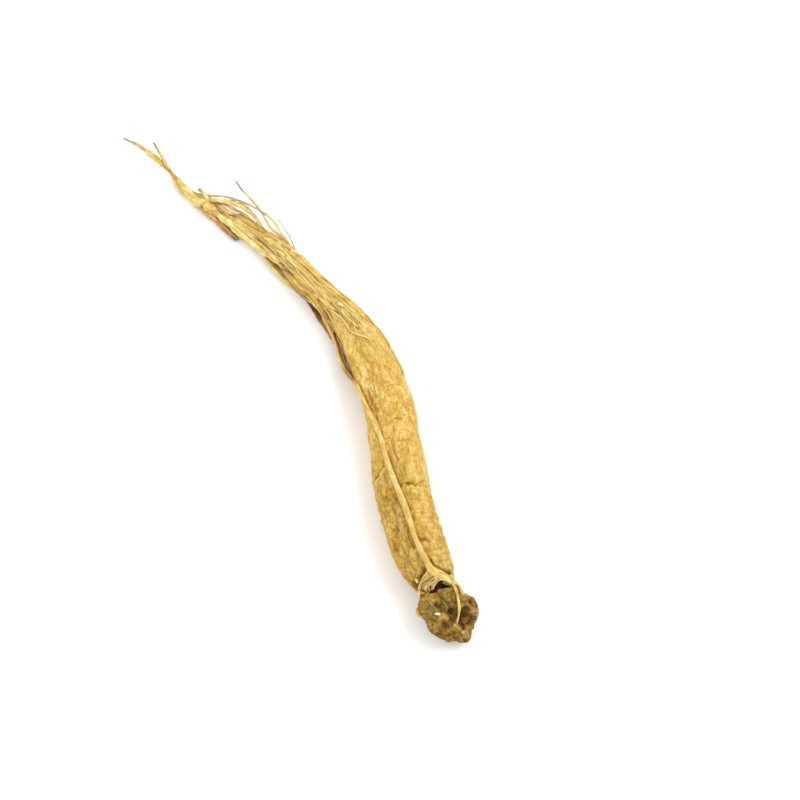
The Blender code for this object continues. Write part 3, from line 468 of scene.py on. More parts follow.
# How each kind of strand is made: seed of its first, step along it and sides, and where they aren't 1,
# its lumps and creases; bands turn about the neck
TUBES = {
    "side_root": {"seed": 1, "sides": 28, "lumps": 0.35, "creases": 0.8},
    "band": {"seed": 20, "step": 0.14, "lumps": 0.7, "creases": 1.6, "axis": NECK},
    "rootlet": {"seed": 40, "step": 0.24, "sides": 24},
    "hair": {"seed": 70, "step": 0.2, "sides": 10, "lumps": 0.5},
    "free_hair": {"seed": 80, "step": 0.2, "sides": 10},
    "flake": {"seed": 90, "step": 0.08, "sides": 14, "creases": 0.5},
    "fibre": {"seed": 120, "step": 0.3, "sides": 7},
}
# Share of the body's rows of faces that lie closer, on the shoulder down to X
SHOULDER_SHARE = 0.43
SHOULDER_END = 40.0
# How much closer the body's columns of faces lie on top, and about which angle
COLUMN_CROWDING = 0.45
COLUMN_MIDDLE = 0.3
PATTERN_SHIFT = 7.3  # from one strand's patterns to the next one's, so that no two are alike

# The root's colours: what each is for, and how it looks on a screen, 0 to 255
TONES = {
    # Painted shade: the neck tone, in the pit between the neck and the crown, and the darkest tone, for
    # the crown's gaps
    "neck": ("Skin in the pit between the neck and the crown", (76, 46, 18)),
    "shoulder": ("Skin of the ringed shoulder", (195, 165, 76)),
    "belly": ("Skin of the thick middle", (217, 186, 93)),
    "upper": ("Skin where the body narrows", (219, 193, 103)),
    "deep": ("Browner strands and the shaded flank", (217, 175, 89)),
    "gold": ("Golden strands of the tail", (232, 212, 130)),
    "pale": ("Pale strands of the tail", (241, 233, 160)),
    "tip": ("Thin ends of the rootlets", (217, 199, 148)),
    "strap": ("The long side root and its fibres", (225, 200, 113)),
    "straw": ("Yellow fibres on the crown", (188, 158, 79)),
    "crown": ("Greyish bark of the crown", (159, 130, 57)),
    "earth": ("Brown bark of the crown", (134, 105, 43)),
    "olive": ("Olive top of the crown", (136, 115, 38)),
    "ochre": ("Orange flakes and stains", (196, 155, 63)),
    "rust": ("Reddish stains", (178, 127, 56)),
    "horn": ("Glassy grey-green bark of the crown", (156, 136, 67)),
    "pith": ("Dark hollows of the old stems", (86, 61, 24)),
    "void": ("The darkest gaps at the neck", (44, 25, 9)),
    "paper": ("White papery flakes", (246, 241, 211)),
    "grey": ("Dry grey hairs", (177, 170, 145)),
}
# Each piece's material: its name, how many times as long as wide a streak is, streaks to a mm, their
# strength, specks to a mm, relief in mm, roughness, specular level
SKINS = {
    "root_body": ("dried_skin", 4.0, 1.5, 0.50, 2.4, 0.14, 0.66, 0.12),
    "root_crown": ("crown_bark", 1.0, 1.3, 0.50, 3.4, 0.18, 0.60, 0.02),
    "side_root": ("side_root_skin", 9.0, 2.4, 0.55, 4.0, 0.05, 0.62, 0.30),
    "neck_collar": ("collar_fibre", 7.0, 2.4, 0.70, 4.0, 0.07, 0.66, 0.30),
    "tail_rootlets": ("rootlet_skin", 9.0, 2.2, 0.60, 4.0, 0.08, 0.66, 0.30),
    "root_hairs": ("hair_skin", 8.0, 3.0, 0.30, 5.0, 0.03, 0.64, 0.30),
    "skin_flakes": ("flake_skin", 3.0, 2.4, 0.30, 5.0, 0.03, 0.60, 0.30),
}
# What a mesh carries at each point for its material: name, type and field
ATTRIBUTES = (
    ("tone", "FLOAT_COLOR", "color"), ("skin", "FLOAT_VECTOR", "vector"), ("dark", "FLOAT", "value"),
    ("gloss", "FLOAT", "value"),
)
# The stage, in metres: the floor lies just below the root, so that no faces coincide
FLOOR_DROP = 0.00003
LOOK_AT = (0.0232217, 0.0138910, 0.0)
# Lamps: name, place, side of the square, share of the key's power
LAMPS = (("key", (0.25, 0.75, 1.05), 0.9, 1), ("fill", (-0.5, -0.8, 0.9), 0.8, 0.3))


def colour(red, green, blue):
    """A colour given as it looks on a screen, 0 to 255, as the linear values that shaders use."""
    value = np.array([red, green, blue]) / 255
    return tuple(np.where(value > 0.04045, ((value + 0.055) / 1.055) ** 2.4, value / 12.92).tolist())


def tones(keys):
    """The colours of these names as rows."""
    colours = bpy.context.scene.ginseng_colours
    return np.array([tuple(getattr(colours, key)) for key in keys])


def unit(rows):
    """Each row at length 1."""
    return rows / np.linalg.norm(rows, axis=-1, keepdims=True)


def turned(angle, degrees):
    """Angles measured from one given in degrees, from -pi to pi."""
    return np.angle(np.exp(1j * (angle - math.radians(degrees))))


def hermite(knots, values, at):
    """Smooth curve through values at increasing knots, with the slope of the neighbours at each."""
    slopes = np.gradient(values, knots, axis=0)
    i = np.clip(np.searchsorted(knots, at) - 1, 0, len(knots) - 2)
    gap = (knots[i + 1] - knots[i])[:, None]
    t = (at - knots[i])[:, None] / gap
    rise = 3 * t**2 - 2 * t**3
    bend = slopes[i] * (t - 2 * t**2 + t**3) + slopes[i + 1] * (t**3 - t**2)
    return values[i] * (1 - rise) + values[i + 1] * rise + gap * bend


def spread(values, count):
    """Evenly spaced rows of values over count places, joined by straight lines."""
    place = np.linspace(0, len(values) - 1, count)
    stops = np.arange(len(values))
    return np.stack([np.interp(place, stops, column) for column in np.array(values).T], -1)


def ramp(value, start, end):
    """0 before start and 1 after end, as 3 t^2 - 2 t^3 in between."""
    t = np.clip((value - start) / (end - start), 0.0, 1.0)
    return t * t * (3 - 2 * t)


def noise(points, seed):
    """Gradient noise, about -1 to 1, for any array of points.

    Each corner of a unit lattice has a seeded random direction. In a cube, the value is the eight
    dot products of those directions with the way from their corners, blended by the weights
    6 t^5 - 15 t^4 + 10 t^3 along each axis.
    """
    random = np.random.default_rng(seed)
    size = 1024
    order = random.permutation(size)
    directions = unit(random.normal(size=(size, 3)))
    cell = np.floor(points).astype(int)
    t = points - cell
    fade = t**3 * (t * (6 * t - 15) + 10)
    total = np.zeros(points.shape[:-1])
    for corner in itertools.product((0, 1), repeat=3):
        corner = np.array(corner)
        place = (cell + corner) % size
        index = order[(order[(order[place[..., 0]] + place[..., 1]) % size] + place[..., 2]) % size]
        weight = np.prod(np.where(corner == 1, fade, 1 - fade), axis=-1)
        total += weight * np.einsum("...i,...i->...", directions[index], t - corner)
    return 1.7 * total


def wrinkled(points, seed, width):
    """Swell and crease of a wrinkled skin, both 0 to 1.

    The creases run along the winding lines where smooth noise is 0: a crease is
    exp(-(noise / width)^2), and the swell between them is the square root of the noise's size.
    """
    level = noise(points, seed)
    return np.sqrt(np.minimum(np.abs(level), 1.0)), np.exp(-((level / width) ** 2))


def darken(dark, more):
    """Darkness where two lie over each other: 1 - (1 - a)(1 - b), and paler where b is negative."""
    return np.clip(1 - (1 - dark) * (1 - more), 0.0, 1.0)


def contact_shade(gap, reach):
    """Painted shade beside a touching skin: CONTACT_DARKNESS exp(-(gap / reach)^2)."""
    return CONTACT_DARKNESS * np.exp(-((np.maximum(gap, 0) / reach) ** 2))


def body_line(x):
    """Centre (as rows of X, Y, Z) and half-width of the body at each x."""
    thickest = bpy.context.scene.ginseng_body.belly_half_width / MM
    table = np.array(BODY_STATIONS)[::-1]
    along = hermite(table[:, 0], table[:, 1:], x)
    return np.column_stack([x, along[:, :2]]), along[:, 2] * thickest


def body_axes(x):
    """Level unit vector to the -Y side and unit vector upwards, both square to the body's line."""
    step = 0.5
    tangent = unit(body_line(x + step)[0] - body_line(x - step)[0])
    side = unit(np.cross(tangent, (0.0, 0.0, 1.0)))
    return side, np.cross(side, tangent)


def solid_relief(x, angle):
    """Relief that the solid has: facets, ring wrinkles, lengthwise ridges and scars.

    Facets and ridges are sums of cosines round the body that drift along it, the rings are a sine
    of x, and a scar is its height times exp(-(along / half-length)^2 - (round / half-angle)^2).
    """
    facets = (
        0.045 * np.cos(2 * angle - 0.6 + 0.5 * np.sin(x / 19.0))
        + 0.035 * np.cos(3 * angle + 1.4 + 0.9 * np.sin(x / 27.0 + 1.0))
        + 0.02 * np.cos(5 * angle + x / 13.0)
        + 0.02 * np.sin(x / 5.3 + 2.0 * np.cos(angle + 0.4))
    )
    _, half_width = body_line(x.ravel())
    relief = facets * half_width.reshape(x.shape)
    ringed = ramp(x, 36.0, 56.0) * (0.55 + 0.45 * np.cos(angle + 0.9))
    wobble = 0.9 * np.sin(angle + x / 11.0) + 0.6 * np.sin(2 * angle + 0.7)
    relief += RING_HEIGHT * ringed * np.sin(2 * math.pi * x / RING_PITCH + wobble)
    ridge_height = RIDGE_HEIGHT + (TAIL_RIDGE_HEIGHT - RIDGE_HEIGHT) * ramp(-x, -22.0, 14.0)
    ridge_height = ridge_height * ramp(x, -56.0, -40.0)
    meander = 0.7 * np.sin(x / 17.0) + 0.35 * np.sin(x / 7.1 + 0.8)
    ridges = 0.6 * np.cos(6 * angle + meander) + 0.4 * np.cos(4 * angle - 1.3 * meander + 2.0)
    relief += ridge_height * ridges
    for scar_x, degrees, height, half_length, half_angle in SCARS:
        across = turned(angle, degrees) / math.radians(half_angle)
        relief += height * np.exp(-(((x - scar_x) / half_length) ** 2 + across**2))
    return relief


def body_surface(x, angle, lift=0.0):
    """Points of the body's skin, lift above it, for arrays of x and of angle from the top.

    The point is centre(x) + r (side sin(angle) + up HEIGHT_RATIO cos(angle)), where r is the
    half-width at x plus the relief and the lift.
    """
    flat = x.ravel()
    centre, half_width = body_line(flat)
    side, up = body_axes(flat)
    shape = (*x.shape, 3)
    radius = half_width.reshape(x.shape) + solid_relief(x, angle) + lift
    across = (radius * np.sin(angle))[..., None] * side.reshape(shape)
    upward = (radius * HEIGHT_RATIO * np.cos(angle))[..., None] * up.reshape(shape)
    return centre.reshape(shape) + across + upward


def mark_closeness(x, angle, route, half_width):
    """exp(-(d / half_width)^2), where d is the distance over the unrolled skin to a line of places."""
    nearest = np.full(x.shape, np.inf)
    for start, end in itertools.pairwise(np.array(route, float)):
        _, radius = body_line(np.array([(start[0] + end[0]) / 2]))
        way = (end - start) * (1, radius[0] * math.pi / 180)
        off = x - start[0]
        turn = turned(angle, start[1]) * radius[0]
        share = np.clip((off * way[0] + turn * way[1]) / (way @ way), 0, 1)
        nearest = np.minimum(nearest, np.hypot(off - share * way[0], turn - share * way[1]))
    return np.exp(-((nearest / half_width) ** 2))


def ring_wrinkles(x, angle, place):
    """Crease of the shoulder's fine rings: exp(-(sin(pi phase) / 0.42)^2) in seeded short arcs.

    The phase is x over the rings' pitch, made to waver by smooth noise and round the body.
    """
    phase = x / FINE_RING_PITCH + 0.45 * noise(place / (9.0, 6.0, 6.0), 31) + 0.12 * np.sin(2 * angle)
    line = np.exp(-((np.sin(math.pi * phase) / 0.42) ** 2))
    arcs = 0.25 + 0.75 * ramp(noise(place / (4.0, 4.2, 4.2), 32), -0.25, 0.30)
    return line * arcs * ramp(x, 40.0, 54.0) * (0.35 + 0.65 * np.cos(angle + 0.75))


def side_root_bed(x, angle, place, half_width):
    """Broken crease along both edges of the side root, dented and painted as shade: exp(-((d - 0.85 r) /
    0.3)^2), d from its line.
    """
    strap = np.array(SIDE_ROOT_ON_BODY)[::-1]
    degrees, radius = (np.interp(x, strap[:, 0], column) for column in strap.T[1:])
    away = np.abs(angle - np.radians(degrees)) * half_width
    bed = np.exp(-(((away - 0.85 * radius) / 0.30) ** 2)) * ramp(x, 18.0, 24.0) * ramp(-x, -80.0, -77.0)
    return bed * (0.35 + 0.65 * ramp(noise(place / (4.0, 3.0, 3.0), 33), -0.25, 0.35))


def body_gap(points):
    """Distance of each point from the body's skin: square to the body's line, less the solid's reach."""
    centre, half_width = body_line(points[:, 0])
    side, up = body_axes(points[:, 0])
    off = points - centre
    across = (off * side).sum(-1)
    upward = (off * up).sum(-1) / HEIGHT_RATIO
    angle = np.arctan2(across, upward)
    return np.hypot(across, upward) - half_width - solid_relief(points[:, 0], angle)


def strand_gap(points, routes):
    """Distance of each point from the nearest of the strands' skins: to their lines, less the radius."""
    nearest = np.full(len(points), np.inf)
    for route in routes:
        for start, end in itertools.pairwise(np.array(route, float)):
            middle = (start[0] + end[0]) / 2
            close = np.abs(points[:, 0] - middle) < abs(end[0] - start[0]) / 2 + 3.0
            spot = points[close] - start[:3]
            way = end[:3] - start[:3]
            share = np.clip(spot @ way / (way @ way), 0, 1)
            away = np.linalg.norm(spot - share[:, None] * way, axis=1)
            away -= start[3] + share * (end[3] - start[3])
            nearest[close] = np.minimum(nearest[close], away)
    return nearest


def body_skin(x, angle):
    """Points of the finished skin, how dark each is, and its place on the skin, at each x and angle.

    The relief adds the swell of each family of wrinkles, and takes off their creases, the rings, the
    side root's bed and the marks, which all darken the skin as well: partly their brown, partly painted
    shade. Painted shade also darkens the skin where a strand lies close to it.
    """
    sizes = bpy.context.scene.ginseng_body
    _, half_width = body_line(x.ravel())
    half_width = half_width.reshape(x.shape)
    stretched = np.interp(x, *zip(*TAIL_STRETCH))
    place = np.stack([stretched, half_width * np.sin(angle), half_width * np.cos(angle)], -1)
    tailward = ramp(-x, -24.0, 16.0)
    calm = 1 - 0.60 * ramp(x, 36.0, 52.0) * ramp(-angle, -0.3, 0.3) * ramp(angle, -2.0, -1.4)
    wander = np.stack([noise(place / 6.0, seed) for seed in (11, 12, 13)], -1)
    relief = np.zeros(x.shape)
    dark = np.zeros(x.shape)
    for seed, fold in enumerate(BODY_FOLDS):
        along, across, width, depth, swell, darkness, on_shoulder, on_tail = fold
        share = (on_shoulder + (on_tail - on_shoulder) * tailward) * calm
        height, crease = wrinkled((place + 0.9 * wander) / (along, across, across), seed, width)
        relief += share * (swell * (height - SWELL_MIDDLE) - depth * crease)
        # The creases' darkness is their brown and painted shade
        dark = darken(dark, share * darkness * crease)
    rings = ring_wrinkles(x, angle, place)
    relief -= sizes.ring_depth / MM * rings
    # The rings' darkness is their brown and painted shade
    dark = darken(dark, 0.34 * rings)
    bed = side_root_bed(x, angle, place, half_width)
    relief -= 0.22 * bed
    # Painted shade along both edges of the side root
    dark = darken(dark, 0.55 * bed)
    relief *= sizes.fold_height
    for half, depth, darkness, *route in BODY_MARKS:
        near = mark_closeness(x, angle + 0.03 * wander[..., 0], route, half)
        relief -= depth * near
        dark = darken(dark, darkness * near)
    points = body_surface(x, angle, relief)
    # Painted shade where the side root or a rootlet of the tail lies close to the skin
    gap = strand_gap(points.reshape(-1, 3), (SIDE_ROOT_BESIDE_BODY, *TAIL_ROUTES))
    return points, darken(dark, contact_shade(gap.reshape(x.shape), 0.28)), place


def body_tone(x, angle, place):
    """Colour of the body's skin: BODY_TONES along it, browner in patches, and painted shade on the -Y
    flank and underneath.
    """
    stops, keys = zip(*BODY_TONES)
    tone = np.stack([np.interp(x, stops, column) for column in tones(keys).T], -1)
    # Painted shade on the -Y flank and on the underside
    flank = 0.55 * ramp(angle, 0.7, 1.9) * ramp(-angle, -3.1, -2.4)
    flank = np.maximum(flank, 0.35 * ramp(np.abs(angle), 1.7, 2.6))
    patchy = 0.30 * ramp(noise(place / (9.0, 5.0, 5.0), 41), 0.0, 0.5)
    browner = np.clip(flank + patchy, 0, 1)[..., None]
    return tone * (1 - browner) + tones(["deep"]) * browner


def away_from(direction, axis, reach):
    """Angle of each direction from an axis, as a share of reach."""
    return np.arccos(np.clip(direction @ unit(np.array(axis)), -1, 1)) / reach


def crown_reach(direction):
    """Distance from the crown's centre to the solid's skin: the lobes' outer surface, less the scars.

    The lobes melt together as log(sum of exp(k edge)) / k, where edge is the far side of each.
    """
    reach = np.zeros(direction.shape[:-1])
    sharpness = 3.0
    for *offset, radius in CROWN_LOBES:
        along = direction @ np.array(offset)
        inside = along**2 - np.dot(offset, offset) + radius**2
        edge = along + np.sqrt(np.maximum(inside, 0.0))
        reach += np.where(inside > 0, np.exp(sharpness * edge), 0.0)
    reach = np.log(reach) / sharpness
    for scar, size, depth, rim in STEM_SCARS:
        away = away_from(direction, scar, size)
        reach += rim * np.exp(-(((away - 1.15) / 0.28) ** 2)) - depth * (1 - ramp(away, 0.25, 1.0))
    turn = np.arctan2(direction[..., 1], direction[..., 2])
    return reach + 0.22 * np.sin(7 * turn + 5 * direction[..., 0]) * np.sqrt(1 - direction[..., 0] ** 2)


def crown_skin(direction):
    """Fine relief, darkness, colour and gloss of the crown at each direction from its centre.

    The relief adds wrinkles, and ribs round each stem scar as a sine of the angle from it. Creases,
    the hollows between ribs and the bottom of each bowl are darker: the creases' brown and painted
    shade. Patches of colour lie over the bark in order, each 1 within its angle, less a ragged edge of
    noise; some paint the shade of gaps and, in part, a glint.
    """
    place = CROWN_SKIN_RADIUS * direction
    relief = np.zeros(direction.shape[:-1])
    dark = np.zeros(direction.shape[:-1])
    for seed, (pitch, width, depth, swell, darkness) in enumerate(CROWN_FOLDS):
        height, crease = wrinkled(place / pitch, 50 + seed, width)
        relief += swell * (height - SWELL_MIDDLE) - depth * crease
        dark = darken(dark, darkness * crease)
    for scar, size, depth, _ in STEM_SCARS:
        away = away_from(direction, scar, size)
        ribs = np.sin(11.0 * away + 2.0 * noise(place / 2.5, 57)) * (1 - ramp(away, 1.2, 1.7))
        relief += 0.09 * ribs
        # Painted shade in the hollows between the ribs and at the bottom of each scar's bowl
        dark = darken(dark, 0.25 * np.maximum(-ribs, 0))
        dark = darken(dark, 0.35 * depth * (1 - ramp(away, 0.3, 0.9)))
    blend = ramp(noise(place / 3.2, 60), -0.35, 0.35)[..., None]
    bark, earth = tones(["crown", "earth"])
    tone = bark * (1 - blend) + earth * blend
    gloss = np.zeros(direction.shape[:-1])
    ragged = 0.22 * noise(place / 1.3, 61) + 0.10 * noise(place / 0.6, 62)
    # Some patches paint the shade of the crown's gaps and, in part, a glint
    for patch, size, key, strength, shine in CROWN_PATCHES:
        away = away_from(direction, patch, size) + ragged
        cover = strength * (1 - ramp(away, 0.70, 1.05))
        tone = tone * (1 - cover[..., None]) + tones([key]) * cover[..., None]
        gloss = gloss * (1 - cover) + shine * cover
    return relief, dark, tone, gloss


def in_frame(points):
    """Millimetres on the routes' axes as metres in the frame, flattened where the root rests."""
    placed = points + CENTRING
    placed[..., 2] = np.maximum(placed[..., 2], 0.0)
    return placed * MM


def tube_line(route, step, axis):
    """Places along a smooth line through a route, with its centre, radius, side and up at each.

    The ends close like a dome: the radius is times the square root of a rise from 0 to 1 over its
    own length. Side and up turn about the line from level, or from the way out of an axis point.
    """
    route = np.array(route, float)
    knots = np.concatenate([[0], np.cumsum(np.linalg.norm(np.diff(route[:, :3], axis=0), axis=1))])
    at = np.linspace(0, knots[-1], max(10, round(knots[-1] / step) + 1))
    line = hermite(knots, route, at)
    centre, radius = line[:, :3], line[:, 3]
    to_end = np.minimum(at, knots[-1] - at)
    opening = 0.3 * np.minimum(to_end / 0.12, 1.0) + to_end / radius
    radius = radius * np.sqrt(np.clip(opening, 0.0004, 1.0))
    tangent = unit(np.gradient(centre, axis=0))
    outward = np.array([(0.0, 0.0, 1.0)]) if axis is None else (centre - np.array(axis)) * (0, 1, 1)
    side = unit(np.cross(tangent, outward))
    rings = (at, centre, radius, side, np.cross(side, tangent))
    return (values[:, None] for values in rings)


def tube(route, keys, stain, flat, seed, near, axis=None, step=0.28, sides=20, lumps=1.0, creases=1.0):
    """A rootlet: rings square to a smooth line through the route's points.

    A ring's reach is radius (1 + swelling + wrinkles), where the swelling is the solid's slow
    sines and the wrinkles are lengthwise folds of noise. It is darker in its creases, with their
    brown and painted shade, where it is stained, and with painted shade close to the body and to
    the routes that are near.
    """
    at, centre, radius, side, up = tube_line(route, step, axis)
    turn = np.linspace(0, 2 * math.pi, sides, endpoint=False)
    along = np.repeat(at, sides, 1)
    around = np.stack([along, radius * np.cos(turn), radius * np.sin(turn)], -1)
    around[..., 1:] += PATTERN_SHIFT * seed
    height, crease = wrinkled(around / (5.0, 0.62, 0.62), seed + 100, 0.20)
    knobs, _ = wrinkled(around / (1.6, 1.2, 1.2), seed + 200, 0.20)
    swell = 0.10 * np.sin(along * 1.1 + 2 * turn) + 0.06 * np.sin(along * 2.3)
    swell += 0.14 * (height - 0.5) + 0.16 * (knobs - 0.5)
    reach = radius * (1 + lumps * swell - 0.14 * creases * crease)
    points = centre + (reach * np.cos(turn))[..., None] * side
    points = points + (flat * reach * np.sin(turn))[..., None] * up
    blotches = ramp(noise(around / (2.6, 1.4, 1.4), seed + 300), -0.35, 0.45)
    lines = ramp(noise(around / (6.0, 0.42, 0.42), seed + 400), 0.0, 0.5)
    stained = spread(np.array(stain)[:, None], len(at)) * (0.10 + 0.55 * blotches + 0.35 * lines) * 0.8
    dark = darken(creases * 0.35 * crease, stained)
    # Painted shade where the strand lies close to the body or to the strands near it
    if near:
        flat_points = points.reshape(-1, 3)
        gap = np.minimum(body_gap(flat_points), strand_gap(flat_points, near))
        dark = darken(dark, contact_shade(gap.reshape(dark.shape), 0.22))
    tone = np.broadcast_to(spread(tones(keys), len(at))[:, None], points.shape)
    return {"points": points, "tone": tone, "dark": dark, "gloss": 0 * dark, "skin": around}


def tubes(kind, strands, touching=None):
    """Surfaces of the strands of one kind, each given by its route, colours, stains and flatness.

    Where touching gives routes, a strand has painted shade beside those and beside the others of its
    kind.
    """
    settings = dict(TUBES[kind])
    first_seed = settings.pop("seed")
    surfaces = []
    for i, strand in enumerate(strands):
        near = ()
        if touching is not None:
            near = (*touching, *(other[0] for j, other in enumerate(strands) if j != i))
        surfaces.append(tube(*strand, first_seed + i, near, **settings))
    return surfaces


def on_skin(route):
    """A route of X, degrees from the top, lift and radius as one of X, Y, height and radius.

    A lift of 0 puts a strand's centre just above the solid's skin, by SKIN_CLEARANCE.
    """
    x, degrees, lift, radius = np.array(route, float).T
    return np.column_stack([body_surface(x, np.radians(degrees), lift=lift + SKIN_CLEARANCE), radius])


def fibre_routes():
    """Seeded routes of fine fibres along the tail: each drifts slowly round the body as it runs."""
    random = np.random.default_rng(FIBRE_SEED)
    for _ in range(FIBRE_COUNT):
        length = random.uniform(5.0, 16.0)
        x = random.uniform(*FIBRE_SPAN) + np.linspace(0.0, length, 6) - length / 2
        x = np.clip(x, -50.0, 12.0) + np.linspace(0.0, 0.6, 6)
        degrees = random.uniform(-110, 200) + random.normal(0, 9) * np.linspace(-1, 1, 6) ** 2
        degrees += random.normal(0, 6) * np.linspace(-1, 1, 6)
        lift = 0.02 + random.uniform(0.0, 0.14) * np.array([-1.0, 0.6, 1.0, 1.0, 0.6, -1.0])
        radius = random.uniform(*FIBRE_RADIUS) * np.array([0.6, 0.9, 1.0, 1.0, 0.9, 0.6])
        yield np.column_stack([x, degrees, lift, radius])


def closed_faces(rings):
    """Faces over a grid of rings, with a fan about one more point at each end, facing outwards."""
    count, around = rings.shape[:2]
    i, j = np.meshgrid(np.arange(count - 1), np.arange(around), indexing="ij")
    k = (j + 1) % around
    quads = np.stack([i * around + j, i * around + k, (i + 1) * around + k, (i + 1) * around + j], -1)
    ring = np.arange(around)
    after = (ring + 1) % around
    end = (count - 1) * around
    start_fan = np.stack([np.full(around, count * around), after, ring], -1)
    end_fan = np.stack([np.full(around, count * around + 1), end + ring, end + after], -1)
    out = rings[:-1] - rings[:-1].mean(1, keepdims=True)
    square = np.cross(np.roll(rings, -1, 1)[1:] - rings[:-1], rings[1:] - np.roll(rings, -1, 1)[:-1])
    if (out * square).sum() < 0:
        quads, start_fan, end_fan = quads[..., ::-1], start_fan[:, ::-1], end_fan[:, ::-1]
    return quads.reshape(-1, 4), np.concatenate([start_fan, end_fan])


def with_ends(field):
    """A grid's values as rows, with the mean of the first and of the last ring after them."""
    rows = field.reshape(-1, *field.shape[2:])
    return np.concatenate([rows, field[:1].mean(1), field[-1:].mean(1)])


def add_object(name, data):
    """A new object in the scene."""
    item = bpy.data.objects.new(name, data)
    bpy.context.scene.collection.objects.link(item)
    return item


def make_piece(name, surfaces):
    """One object of closed surfaces, its place in its mesh, riding on the root in the solid's place."""
    corners, quads, fans, first = [], [], [], 0
    for surface in surfaces:
        placed = in_frame(surface["points"])
        square, fan = closed_faces(placed)
        corners.append(with_ends(placed))
        quads += (square + first).tolist()
        fans += (fan + first).tolist()
        first += len(corners[-1])
    mesh = bpy.data.meshes.new(name)
    mesh.from_pydata(np.concatenate(corners), [], quads + fans)
    joined = {key: np.concatenate([with_ends(s[key]) for s in surfaces]) for key in surfaces[0]}
    joined["tone"] = np.column_stack([joined["tone"], np.ones(len(joined["tone"]))])
    for key, kind, field in ATTRIBUTES:
        mesh.attributes.new(key, kind, "POINT").data.foreach_set(field, joined[key].ravel())
    mesh.shade_smooth()
    mesh.materials.append(skin_material(*SKINS[name]))
    piece = add_object(name, mesh)
    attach(piece, BODY)
    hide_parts(NODE)


def plug(tree, source, socket):
    """Links source into socket, or sets it there if it is a plain value."""
    if isinstance(source, bpy.types.NodeSocket):
        tree.links.new(source, socket)
    else:
        socket.default_value = source


def add_node(tree, kind, inputs=(), **settings):
    """A new node with its settings and inputs in place."""
    node = tree.nodes.new("ShaderNode" + kind)
    for key, value in settings.items():
        setattr(node, key, value)
    for key, source in dict(inputs).items():
        plug(tree, source, node.inputs[key])
    return node


def attribute(tree, name):
    """The node that reads one of the piece's attributes."""
    return add_node(tree, "Attribute", attribute_name=name)


def lengthened(tree, place, times):
    """Place with its first axis drawn out, so that a pattern on it is so many times as long."""
    return add_node(tree, "Mapping", {"Vector": place, "Scale": (1 / times, 1.0, 1.0)}).outputs[0]


def noise_field(tree, place, scale, detail, roughness=0.55):
    """Value of a noise texture over place."""
    inputs = {"Vector": place, "Scale": scale, "Detail": detail, "Roughness": roughness}
    return add_node(tree, "TexNoise", inputs).outputs[0]


def remap(tree, value, start, end, low, high):
    """Value from start to end as low to high, clamped."""
    inputs = {"Value": value, "From Min": start, "From Max": end, "To Min": low, "To Max": high}
    return add_node(tree, "MapRange", inputs).outputs[0]


def mix(tree, blend, factor, first, second):
    """Two colours blended by factor."""
    inputs = {0: factor, 6: first, 7: second}
    return add_node(tree, "Mix", inputs, data_type="RGBA", blend_type=blend).outputs[2]


def maths(tree, operation, first, second):
    """Two values put together by a maths operation."""
    return add_node(tree, "Math", {0: first, 1: second}, operation=operation).outputs[0]


def new_material(name, roughness, specular):
    """A material of nodes, with its tree and its shader."""
    material = bpy.data.materials.new(name)
    material.use_nodes = True
    shader = material.node_tree.nodes["Principled BSDF"]
    shader.inputs["Roughness"].default_value = roughness
    shader.inputs["Specular IOR Level"].default_value = specular
    return material, material.node_tree, shader


